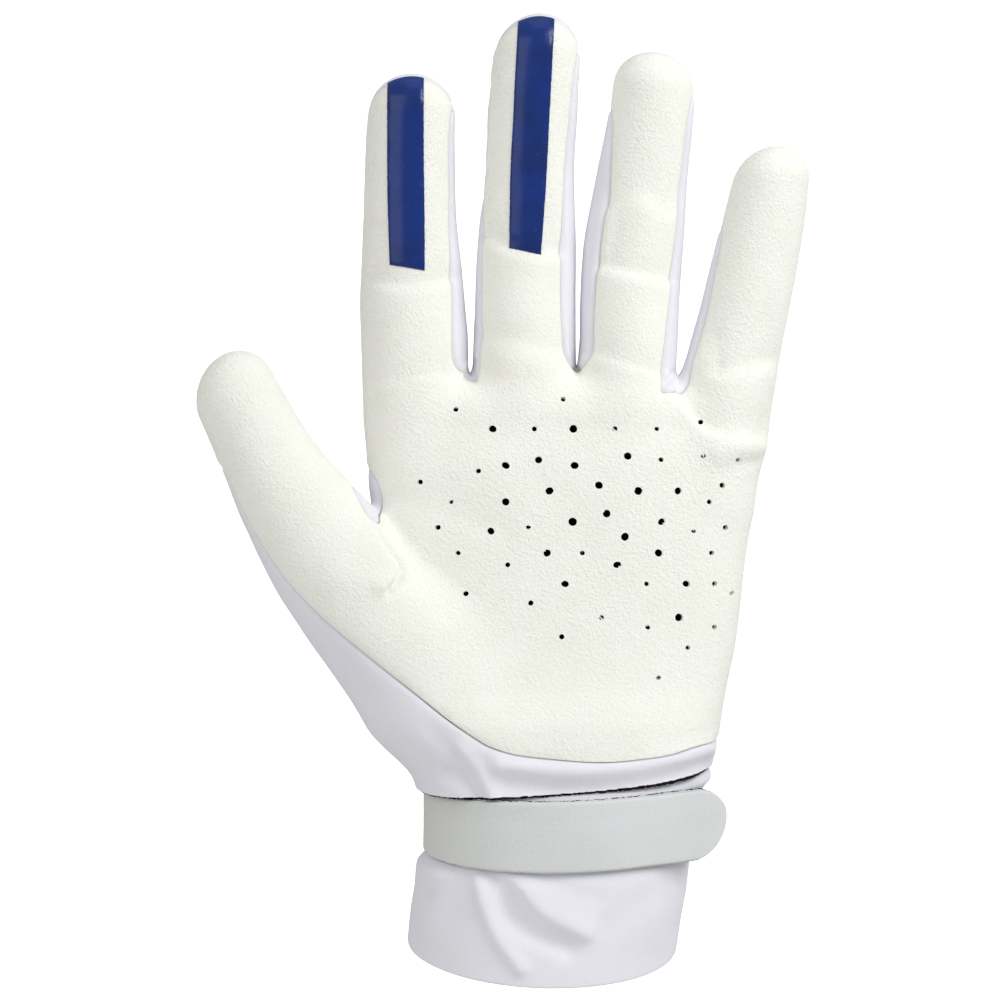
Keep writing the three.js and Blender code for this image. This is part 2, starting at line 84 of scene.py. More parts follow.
# Fingers: level, centre x and y, half width, half depth
FINGERS: dict[str, Rows] = {
    "index": (
        (118, -30.9, 0, 10.5, 10),
        (126, -30.9, 0, 11.5, 11),
        (139.9, -31.2, 0.3, 12.9, 12.5),
        (152.4, -31.4, 0.5, 13.0, 12.3),
        (160.4, -31.8, 0.5, 12.9, 12),
        (168.9, -32.1, 0.1, 12.4, 11.3),
        (185.7, -32.5, -1.5, 11.2, 10.3),
        (200.5, -32.4, -3.6, 10.9, 9.7),
        (208.4, -32.1, -5, 10.7, 9.2),
    ),
    "middle": (
        (118, -4, 0, 11, 10),
        (126, -4, 0, 12, 11),
        (140.9, -4, 0.4, 12.6, 12.8),
        (152.4, -3.8, 0.5, 12.4, 12.6),
        (163.9, -3.7, 0.5, 12.2, 12),
        (175.8, -3.4, 0, 11.9, 11.3),
        (197.1, -2.6, -2.2, 10.9, 10.3),
        (212.4, -1.8, -4.6, 10.9, 9.8),
        (222.4, -1, -6.2, 10.6, 9.3),
    ),
    "ring": (
        (118, 20.7, 0, 11, 10),
        (126, 20.9, 0, 12, 11),
        (140.9, 21.3, 0.3, 12.2, 12.5),
        (152.4, 22.0, 0.4, 11.9, 12.2),
        (163.9, 22.5, 0.3, 12.1, 11.6),
        (174.8, 23.2, -0.2, 12.1, 11.2),
        (191.7, 25.1, -1.8, 11.2, 10.3),
        (205.5, 27.2, -3.8, 10.5, 9.6),
        (213.9, 28, -5.3, 10, 9.2),
        (214.4, 27.97, -5.39, 9.98, 9.18),
    ),
    "little": (
        (112, 42.3, 0, 9.5, 9.5),
        (118, 42.9, 0, 10.5, 10),
        (126, 44.3, 0, 12, 12),
        (134, 45.2, 0.2, 12.2, 12),
        (141.9, 46.6, 0.4, 12, 11.5),
        (149.9, 48.6, 0.3, 11.3, 11),
        (167.8, 52.6, -0.8, 10.7, 10.1),
        (182.2, 55.6, -2.8, 10, 9.4),
        (191.5, 57.2, -4.4, 9.4, 8.9),
    ),
}
TIPS = {"index": 218.5, "middle": 233.3, "ring": 223.8, "little": 200.6}

# How far the suede reaches behind each finger's middle plane at its tip
TIP_WRAP = {"index": -4.6, "middle": -4.6, "ring": -2.4, "little": -1.6}
SIDE_WRAP = 1.0

# Thumb: centre x, y and z, half width, half depth
THUMB: Rows = (
    (-15, -1, 54.2, 11, 14),
    (-27.3, -2.6, 65.4, 15.0, 15.0),
    (-38.8, -5.6, 81.2, 17.2, 15.4),
    (-51.4, -8.5, 98.3, 16.1, 14),
    (-62.2, -10, 113.7, 13.3, 12),
    (-69.1, -11.2, 126.3, 11.4, 10.6),
    (-74.8, -12.4, 138, 10.6, 9.6),
)
THUMB_TIP = (-79.6, -13.2, 147.7)

# Palm: level, left and right edge, centre y, half depth
PALM: Rows = (
    (34.2, -29.5, 40.9, 0.3, 22.2),
    (40.0, -30.4, 41.6, 0.1, 21.6),
    (44.2, -31.3, 42.3, 0, 21.2),
    (48.0, -33.8, 43.2, 0, 21.1),
    (51.5, -36.6, 44.0, 0, 21.6),
    (56.1, -39.4, 44.6, 0, 21.3),
    (60.5, -40.0, 45.2, 0, 19.9),
    (66.1, -40.2, 46.2, 0, 17.8),
    (78.1, -40.9, 48.7, 0, 15.9),
    (93, -42.2, 50.4, 0, 15.2),
    (120, -42.0, 53.3, 0.2, 14.6),
    (131, -42.4, 53.2, 0.3, 13.0),
)
PALM_TOP = 143.5
PALM_SQUARENESS = 2.6

# The suede's outline seen from the palm side, clockwise from the heel. Beyond the glove's
# own outline the points only lead round it, and the wrap limits the suede there.
SUEDE_OUTLINE: dict[str, Points] = {
    "heel": (
        (60, 60), (49.1, 54.8), (38.8, 52.3), (31.4, 50.1), (18.6, 48.5), (10.7, 48.5),
        (-6.1, 50.1), (-13, 52.3), (-16.9, 54.8), (-22.8, 58.8), (-30.2, 64.7),
    ),
    "thumb": (
        (-36.3, 69.4), (-45.5, 76.7), (-52.8, 82.8), (-58.9, 88.8), (-64.3, 94.9),
        (-68.3, 101.1), (-72, 107.1), (-74.8, 113), (-77.7, 119.4), (-82.5, 125.8),
        (-91, 137.7), (-98, 150), (-98, 162), (-62, 162), (-56, 140), (-52.5, 128),
        (-49, 120.5), (-45, 113.5), (-42.2, 108),
    ),
    "web": (
        (-40.4, 106.0), (-39.4, 109.8), (-39.6, 113.6), (-41.0, 118.4), (-43.6, 121.4), (-49.6, 124.6),
    ),
    "index": (
        (-49.6, 140), (-49.6, 200), (-49.6, 232), (-14, 232), (-14, 224), (-19.9, 213.1),
        (-22.7, 207.1), (-22.5, 175.4), (-21.7, 164.5), (-21.8, 155), (-21.8, 148),
        (-20.6, 145.4), (-17.1, 142.0),
    ),
    "middle": (
        (-15.0, 144.6), (-14.6, 150), (-14.6, 163.5), (-14.6, 179.4), (-13.5, 196.2),
        (-12.2, 216), (-14, 238.8), (-14, 246), (12, 246), (11.8, 238.8), (8, 216),
        (6.2, 196.2), (5.3, 179.4), (5.0, 163.5), (5.5, 153), (6.6, 147.6), (8.0, 145.2),
    ),
    "ring": (
        (9.8, 145.0), (11.4, 146.6), (12.9, 150.8), (13.3, 159.6), (14, 170.5), (17, 191.3),
        (18.1, 207.1), (14.8, 228.9), (14.8, 236), (41.5, 236), (41.5, 228.9), (36.4, 207.1),
        (35, 191.3), (33.4, 170.5), (31.8, 159.6), (30.7, 150), (30.3, 143), (30.3, 139.6),
    ),
    "little": (
        (32.6, 139.6), (35.0, 140.3), (36.7, 143.2), (39.4, 152.6), (42.9, 167.5),
        (45.1, 177.4), (45.7, 189.3), (41.5, 205.1), (41.5, 212), (78, 212), (74, 185),
        (67.5, 150), (65, 130), (65, 100), (65, 75),
    ),
}


class Crotch(NamedTuple):
    """The gusset between two fingers and where it ends on each."""

    near: str
    far: str
    low: float
    near_end: float
    far_end: float


CROTCHES = (
    Crotch("index", "middle", 144.6, 211, 222),
    Crotch("middle", "ring", 145.6, 224, 216),
    Crotch("ring", "little", 140.2, 214, 190),
)
GUSSET_BACK = 4.6
GUSSET_FOOT = 5.0

# Vents: level, then the x of the small and of the large ones
VENTS: Sequence[tuple[float, Sequence[float], Sequence[float]]] = (
    (137.6, (5.6,), ()),
    (135.1, (-20.9,), ()),
    (132.1, (39.4,), ()),
    (130.3, (-1.5, 18.3, 28.7), (-11.8, 8.1)),
    (123.6, (40.2,), (21.5,)),
    (122.7, (48.8, 29.7), (-0.5,)),
    (121.3, (), (-8.6, 8.4)),
    (119.9, (-15.3,), ()),
    (117.2, (-29.7,), ()),
    (116.4, (44.8,), (14.4,)),
    (115, (), (33.9, 24.1, 2.2)),
    (112.3, (-22, 41.6), (-8.6,)),
    (109.4, (), (16.3,)),
    (107.4, (), (29.8, 7.9)),
    (106, (45.6, -3, -25.3), ()),
    (105.1, (37.7,), (-12.3,)),
    (103.7, (), (20.8,)),
    (99.7, (42.1, -20.3, 10.3), (1.6, 29.1)),
    (96.8, (-8.1,), (18.9,)),
    (92.1, (42.8, 26.1), (6, 35.9)),
    (89.7, (47.2, -18.4), ()),
    (87.4, (-2.4,), ()),
    (83.8, (15,), (34.1,)),
    (81.4, (26.4, 42.8), ()),
    (79.1, (5.2,), ()),
    (76.3, (36.3,), ()),
    (69, (29,), ()),
)
SMALL_VENT_RADIUS = 0.66
LARGE_VENT_RADIUS = 1.0

# Grips: level, left and right edge
GRIPS: dict[str, Rows] = {
    "index": ((170.9, -37.5, -28.5), (198.8, -37.7, -28.9), (224.4, -37.6, -28.9)),
    "middle": ((175.1, -8.1, 0.5), (203.7, -6.8, 1.9), (238.2, -5, 3.7)),
}
GRIP_END_SLOPE = {"index": -0.16, "middle": -0.2}

# Sloping planes: z = level + along_x * x + along_y * y
BODY_EDGE = (44.9, 0.075, 0.184)
HEM = (1.8, -0.03, 0.345)
STRAP_LINE = (34.8, 0.03, 0.175)

# Cuff: level, left and right edge, centre y, half depth
CUFF: Rows = (
    (0, -33.2, 34.0, 3.0, 25.6),
    (9, -32.4, 35.4, 2.2, 25.0),
    (16, -31.4, 36.6, 1.4, 24.2),
    (22.5, -30.9, 37.3, 0.8, 23.4),
    (24.2, -29.8, 37.5, 0.6, 22.7),
    (26.2, -27.4, 37.7, 0.5, 21.8),
    (28, -27.1, 37.9, 0.4, 21.7),
    (35, -27.0, 38.7, 0.2, 21.6),
    (38, -27.0, 39.4, 0.1, 21.3),
    (41.5, -27.1, 41.2, 0.0, 20.7),
    (43.2, -27.2, 42.6, 0.0, 20.2),
    (44.4, -27.4, 42.6, 0.0, 19.4),
    (45.4, -27.6, 42.0, 0.0, 18.8),
    (46.6, -27.8, 41.2, 0.0, 18.3),
    (53, -28.0, 39.4, 0.0, 17.0),
)
STRAP_SEAT = (28.0, 38.0)  # the levels whose section the strap keeps over its height

# Pleats below the strap: direction in degrees, lean by the hem, half width, height
CUFF_PLEATS: Rows = (
    (214, -6, 9, 1.0),
    (318, 6, 10, 0.5),
    (38, 10, 10, 1.0),
    (100, 12, 9, 1.2),
    (142, -14, 9, 1.2),
)
PLEAT_TOP = 26.0


class Fold(NamedTuple):
    """A raised or sunk line of the skin, seen from the palm side or the back.

    left and right are its half widths on the two sides of the way along its points.
    """

    points: Points
    height: float
    left: float
    right: float
    face: Face = Face.PALM


HAND_FOLDS = (
    # Finger creases: the lower wall is the steep one
    Fold(
        ((-43.5, 167.3), (-38.4, 166.3), (-32.2, 165.6), (-27.3, 166.1), (-21.6, 167.8)),
        -0.6, 3.2, 1.2,
    ),
    Fold(
        ((-41.6, 168.0), (-38.4, 167.3), (-32.2, 166.6), (-27.3, 167.1), (-24.6, 167.8)),
        -0.8, 12.0, 1.8,
    ),
    Fold(((-41.6, 142.4), (-34.7, 142.8), (-30.2, 143.8), (-25, 144.2)), -0.5, 4.0, 1.4),
    Fold(((-14.4, 178.2), (-8.3, 175.4), (-3.6, 174.0), (0.6, 173.5), (5.4, 174.1)), -0.6, 3.0, 1.2),
    Fold(((-11.6, 178.0), (-8.3, 176.4), (-3.6, 175.0), (0.6, 174.5), (3.0, 174.8)), -0.8, 12.0, 1.8),
    Fold(((-14.2, 153.8), (-5.1, 152.2), (5.2, 149.4)), -0.5, 3.5, 2.0),
    Fold(((-13.5, 148.8), (-5.1, 146.4), (6.3, 143.8)), 0.4, 2.5, 4.0),
    Fold(((16.6, 171.2), (20.9, 170.1), (27.0, 168.9), (31.4, 168.2)), -1.3, 12.0, 1.8),
    Fold(((14.6, 170.6), (20.9, 169.7), (27.0, 168.5), (33.4, 167.6)), -0.4, 3.2, 1.2),
    Fold(((17.0, 186.5), (24.6, 189.3), (31.5, 185.6)), -0.9, 7.5, 2.6),
    Fold(((12.2, 149.6), (20.9, 147.2), (30.4, 144.6)), -0.55, 4.0, 1.6),
    Fold(((42.5, 144.2), (47.5, 144.6), (52.5, 146.4), (57.9, 147.2)), -0.4, 3.0, 1.6),
    Fold(((44.5, 146.2), (47.5, 146.6), (52.5, 147.4), (57.0, 148.0)), -1.3, 14.0, 3.0),
    Fold(
        ((34.6, 139.8), (36.8, 136.6), (40.0, 132.2), (43.2, 130.5), (47.9, 129.6), (56.3, 128.8)),
        -1.5, 8.0, 1.5,
    ),
    Fold(((44.5, 124.5), (50, 126.2), (56, 125.6)), 0.6, 2.5, 3.0),
    Fold(((49.5, 121.6), (53, 122.2), (57, 123.4)), -0.5, 1.5, 1.5),
    # Ball of the thumb, lapping over the palm
    Fold(
        (
            (-40.2, 106.6), (-39.3, 102.4), (-37.2, 99.4), (-35.9, 97.6), (-35.5, 95.8),
            (-36.4, 93.2), (-38.0, 90.8),
        ),
        1.2, 0.9, 5.0,
    ),
    Fold(
        ((-38.8, 102.6), (-36.4, 99.2), (-35.0, 97.6), (-34.6, 95.8), (-35.5, 93.0), (-37.2, 90.9)),
        -2.2, 1.3, 0.7,
    ),
    Fold(((-38.6, 105.4), (-36.0, 100.6), (-33.8, 97.6), (-33.4, 95.4), (-34.2, 93.0)), -0.7, 4.5, 1.0),
    Fold(((-48.5, 93.0), (-41.6, 91.4), (-33.5, 91.8)), 0.6, 5.0, 5.0),
    Fold(((-38.4, 112.8), (-27.2, 111.0), (-17.4, 107.6), (-9.2, 104.4)), -0.45, 6.0, 2.6),
    Fold(((-62, 100), (-55, 106), (-50, 112)), -0.2, 4.0, 4.0),
    # Palm hollows
    Fold(((-2, 126), (8, 112), (12, 92)), -0.35, 9.0, 9.0),
    Fold(((44, 112), (40, 100), (42, 84)), 0.35, 6.0, 6.0),
    # Wrist cloth
    Fold(((-22.6, 46.0), (-19.6, 45.0), (-17.2, 43.0), (-15.0, 40.0)), -1.5, 1.2, 2.4),
    Fold(((-19.6, 51.5), (-16.6, 47.8), (-13.6, 43.6), (-11.6, 39.0)), 0.9, 2.0, 1.6),
    Fold(((-27.5, 56.5), (-21, 50.0), (-17, 45.5)), -0.5, 3.0, 2.2),
    Fold(((-8, 43.0), (4, 41.8), (20, 42.8), (34, 45.4), (40, 47.6)), -1.2, 3.2, 3.0),
    Fold(((-10, 47.8), (4, 46.4), (20, 46.8), (34, 49.2), (41, 51.4)), 1.9, 2.4, 2.9),
    # Crotch knots
    Fold(((-16.4, 143.6), (-16.6, 145.4), (-16.2, 147.6)), -1.0, 0.8, 0.7),
    Fold(((-19.6, 144.0), (-19.0, 146.2), (-16.6, 148.2)), 0.7, 0.7, 0.7),
    Fold(((9.0, 146.0), (8.6, 147.8), (9.2, 150.0)), -1.0, 0.8, 0.7),
    Fold(((30.6, 140.2), (31.6, 142.2), (33.2, 144.4)), -1.0, 0.8, 0.8),
    Fold(((33.6, 140.2), (33.0, 141.6), (32.2, 142.8)), 0.8, 0.7, 0.7),
    # Back of the hand: finger joints, the knuckles' line and the wrist's gathers
    Fold(((-42, 176), (-32, 177.5), (-22, 176)), -0.5, 1.6, 1.6, Face.BACK),
    Fold(((-14, 184), (-3, 185.5), (8, 184)), -0.5, 1.6, 1.6, Face.BACK),
    Fold(((13, 180), (24, 181.5), (35, 180)), -0.5, 1.6, 1.6, Face.BACK),
    Fold(((42, 160), (51, 161.5), (61, 160)), -0.45, 1.6, 1.6, Face.BACK),
    Fold(((-36, 136), (-20, 140), (8, 141.5), (30, 138), (50, 130)), 0.7, 6.0, 8.0, Face.BACK),
    Fold(((-26, 66), (-10, 60), (12, 59), (34, 64)), -0.8, 3.0, 2.4, Face.BACK),
    Fold(((-18, 52), (-6, 55), (4, 52)), -0.6, 2.0, 2.0, Face.BACK),
    Fold(((14, 52), (24, 54.5), (34, 52)), -0.6, 2.0, 2.0, Face.BACK),
    Fold(((-66, 118), (-60, 121), (-54, 119)), -0.4, 1.6, 1.6, Face.BACK),
)

CUFF_FOLDS = (
    Fold(((-15.6, 23.0), (-21.0, 18.7), (-27.5, 14.4)), -1.3, 2.4, 2.8),
    Fold(((-15.4, 23.5), (-14.2, 14.9), (-10.8, 6.4), (-4.9, -1.8)), 1.3, 2.2, 2.0),
    Fold(((-12.4, 21.5), (-9.3, 14.9), (-6.4, 9.4), (-0.6, 5.2), (6.8, 2.4)), -1.7, 3.0, 2.4),
    Fold(((-6.0, 21.2), (-2.0, 15.0), (2.8, 11.0), (11.0, 6.6)), 1.4, 3.6, 2.2),
    Fold(((1.5, 21.5), (7, 17.5), (14, 15)), -0.5, 2.6, 2.4),
    Fold(((16.0, 9.0), (24.1, 13.6), (31, 18.5)), -0.45, 2.8, 3.4),
    Fold(((-26, 24), (-22, 25.5), (-18, 24.5)), 0.4, 2.0, 2.0),
)


def cubic(t: Array, ends: tuple[Array, Array], slopes: tuple[Array, Array], step: Array) -> Array:
    """Bends a curve between two values.

    Args:
        t: The share of the way from the first to the second.
        ends: The two values.
        slopes: The slope at each.
        step: The distance between them.

    Returns:
        The value at each t.
    """
    return (
        (2 * t**3 - 3 * t**2 + 1) * ends[0]
        + (t**3 - 2 * t**2 + t) * step * slopes[0]
        + (3 * t**2 - 2 * t**3) * ends[1]
        + (t**3 - t**2) * step * slopes[1]
    )


def gradient(value: Field, points: Array, probe: float) -> Array:
    """Measures how a field changes in space.

    Args:
        value: The field.
        points: Where to measure.
        probe: How far to each side it is read.

    Returns:
        The gradient at each point.
    """
    sides = []
    for step in probe * np.eye(3):
        sides.append((value(points + step) - value(points - step)) / (2 * probe))
    return np.stack(sides, axis=1)


class Profile:
    """A value read smoothly between the rows of a table."""

    SAMPLES = 500

    def __init__(self, keys: Sequence[float], values: Sequence[float]) -> None:
        """Fits a cubic through the rows.

        Args:
            keys: The rows' places, rising.
            values: The value at each.
        """
        key = np.asarray(keys, float)
        value = np.asarray(values, float)
        slope = self.slopes(key, value)
        self.at = np.linspace(key[0], key[-1], self.SAMPLES)
        i = np.clip(np.searchsorted(key, self.at, side="right") - 1, 0, len(key) - 2)
        step = key[i + 1] - key[i]
        t = (self.at - key[i]) / step
        self.smooth = cubic(t, (value[i], value[i + 1]), (slope[i], slope[i + 1]), step)

    @staticmethod
    def slopes(key: Array, value: Array) -> Array:
        """Returns the slope at each row, so that the curve never overshoots."""
        steps = np.diff(value) / np.diff(key)
        before = np.concatenate([steps[:1], steps])
        after = np.concatenate([steps, steps[-1:]])
        product = before * after
        total = np.where(np.abs(before + after) < 1e-9, 1.0, before + after)
        return np.where(product > 0, 2 * product / total, 0.0)

    def __call__(self, at: Array) -> Array:
        """Returns the value at each place, held level beyond the ends."""
        return np.interp(at, self.at, self.smooth)


def column(rows: Rows, index: int) -> list[float]:
    """Returns one column of a table."""
    return [row[index] for row in rows]


def smooth_step(t: Array) -> Array:
    """Returns 0 below 0, 1 above 1 and a smooth rise between."""
    t = np.clip(t, 0.0, 1.0)
    return t * t * (3 - 2 * t)


def soft_min(first: Array, second: Array, reach: Union[float, Array]) -> Array:
    """Joins two distance fields with a fillet.

    Args:
        first: One field's values.
        second: The other's.
        reach: How far from their meeting line the fillet starts.

    Returns:
        The joined values.
    """
    near = np.maximum(reach - np.abs(first - second), 0.0) / reach
    return np.minimum(first, second) - near * near * reach / 4


class SoftNoise:
    """Smooth seeded noise in space, from -1 to 1."""

    CELLS = 32

    def __init__(self, seed: int, scale: float) -> None:
        """Keeps a lattice of random values, scale millimetres apart."""
        self.lattice = np.random.default_rng(seed).uniform(-1, 1, (self.CELLS,) * 3)
        self.scale = scale

    def __call__(self, points: Array) -> Array:
        """Returns the noise at each point."""
        at = points / self.scale
        low = np.floor(at).astype(int)
        t = smooth_step(at - low)
        total = np.zeros(len(points))
        for corner in np.ndindex(2, 2, 2):
            weight = np.prod(np.where(corner, t, 1 - t), axis=1)
            cell = (low + corner) % self.CELLS
            total += weight * self.lattice[cell[:, 0], cell[:, 1], cell[:, 2]]
        return total


class Limb:
    """A finger or the thumb: ellipses square to a straight way, with rounded ends."""

    FOOT = 8.0

    def __init__(self, along: Array, rows: Rows, tip: float) -> None:
        """Fits the sections.

        Args:
            along: The unit vector from root to tip.
            rows: Place along it, place across it, y, half width and half depth.
            tip: Place along it of the tip.
        """
        self.along = along
        self.across = np.array([along[2], 0.0, -along[0]])
        at = column(rows, 0)
        self.start, self.end, self.tip = at[0], at[-1], tip
        self.parts = [Profile(at, column(rows, i)) for i in range(1, 5)]
        self.lean = (rows[-1][2] - rows[-2][2]) / (rows[-1][0] - rows[-2][0])
        self.drift = (rows[-1][1] - rows[-2][1]) / (rows[-1][0] - rows[-2][0])

    def middle(self, along: Array) -> tuple[Array, Array]:
        """Returns the centre line's place across and y at places along."""
        inside = np.clip(along, self.start, self.end)
        over = np.maximum(along - self.end, 0.0)
        return self.parts[0](inside) + self.drift * over, self.parts[1](inside) + self.lean * over

    def value(self, points: Array) -> Array:
        """Returns the distance outside the limb, negative inside."""
        along = points @ self.along
        across, y = self.middle(along)
        inside = np.clip(along, self.start, self.end)
        wide, deep = self.parts[2](inside), self.parts[3](inside)
        over = along - inside
        tall = np.where(over > 0, self.tip - self.end, self.FOOT)
        u = (points @ self.across - across) / wide
        v = (points[:, 1] - y) / deep
        w = over / tall
        size = np.sqrt(u * u + v * v + w * w)
        slope = np.sqrt((u / wide) ** 2 + (v / deep) ** 2 + (w / tall) ** 2)
        return size * (size - 1) / np.maximum(slope, 1e-6)


class PalmSlab:
    """The palm and wrist: level sections between an ellipse and a rectangle."""

    def __init__(self) -> None:
        """Fits the sections of the PALM table."""
        at = column(PALM, 0)
        self.top = at[-1]
        self.left, self.right, self.y, self.deep = (Profile(at, column(PALM, i)) for i in range(1, 5))

    def value(self, points: Array) -> Array:
        """Returns the distance outside the palm, negative inside."""
        z = np.minimum(points[:, 2], self.top)
        left, right, deep = self.left(z), self.right(z), self.deep(z)
        wide = (right - left) / 2
        tall = PALM_TOP - self.top
        parts = np.stack(
            [
                (points[:, 0] - (left + right) / 2) / wide,
                (points[:, 1] - self.y(z) - HAND_Y) / deep,
                (points[:, 2] - z) / tall,
            ]
        )
        reach = np.stack([wide, deep, np.full_like(wide, tall)])
        power = PALM_SQUARENESS
        size = (np.abs(parts) ** power).sum(0) ** (1 / power)
        safe = np.maximum(size, 1e-3)
        slope = np.sqrt(((np.abs(parts / safe) ** (power - 1) / reach) ** 2).sum(0))
        return (size - 1) / np.maximum(slope, 1e-6)


class HandForm:
    """The whole outer form of the worn glove as one distance field."""

    FINGER_FILLET = 0.8
    ROOT_FILLET = 4.0
    HEEL_FILLET = 14.0
    WEB_FILLET = 3.0
    FILLET_FROM, FILLET_OVER = 78.0, 24.0
    PROBE = 0.05
    FLATTEST = 0.05

    def __init__(self) -> None:
        """Builds the limbs from their tables."""
        up = np.array([0.0, 0.0, 1.0])
        self.fingers = {
            name: Limb(up, [(z, x, y + HAND_Y, a, b) for z, x, y, a, b in rows], TIPS[name])
            for name, rows in FINGERS.items()
        }
        self.thumb = self.thumb_limb()
        self.palm = PalmSlab()

    @staticmethod
    def thumb_limb() -> Limb:
        """Returns the thumb, its table turned to the way from root to tip."""
        tip = np.array(THUMB_TIP)
        root = np.array(THUMB[0][:3])
        along = tip - root
        along[1] = 0.0
        along /= np.linalg.norm(along)
        across = np.array([along[2], 0.0, -along[0]])
        rows = [
            (float(np.dot(row[:3], along)), float(np.dot(row[:3], across)), row[1] + HAND_Y, *row[3:])
            for row in THUMB
        ]
        return Limb(along, rows, float(tip @ along))

    def value(self, points: Array) -> Array:
        """Returns the distance outside the hand, negative inside."""
        fingers = [limb.value(points) for limb in self.fingers.values()]
        joined = fingers[0]
        for finger in fingers[1:]:
            joined = soft_min(joined, finger, self.FINGER_FILLET)
        hand = soft_min(joined, self.palm.value(points), self.ROOT_FILLET)
        high = smooth_step((points[:, 2] - self.FILLET_FROM) / self.FILLET_OVER)
        fillet = self.HEEL_FILLET + (self.WEB_FILLET - self.HEEL_FILLET) * high
        return soft_min(hand, self.thumb.value(points), fillet)

    def normal(self, points: Array) -> Array:
        """Returns the outward unit normal at each point."""
        slope = gradient(self.value, points, self.PROBE)
        return slope / np.maximum(np.linalg.norm(slope, axis=1, keepdims=True), 1e-9)

    def settle(self, points: Array, rounds: int = 3) -> Array:
        """Moves points onto the form's surface.

        Args:
            points: Places near it.
            rounds: How often they are moved.

        Returns:
            The moved points.
        """
        for _ in range(rounds):
            slope = gradient(self.value, points, self.PROBE)
            size = np.maximum((slope**2).sum(1), self.FLATTEST)
            points = points - slope * (self.value(points) / size)[:, None]
        return points


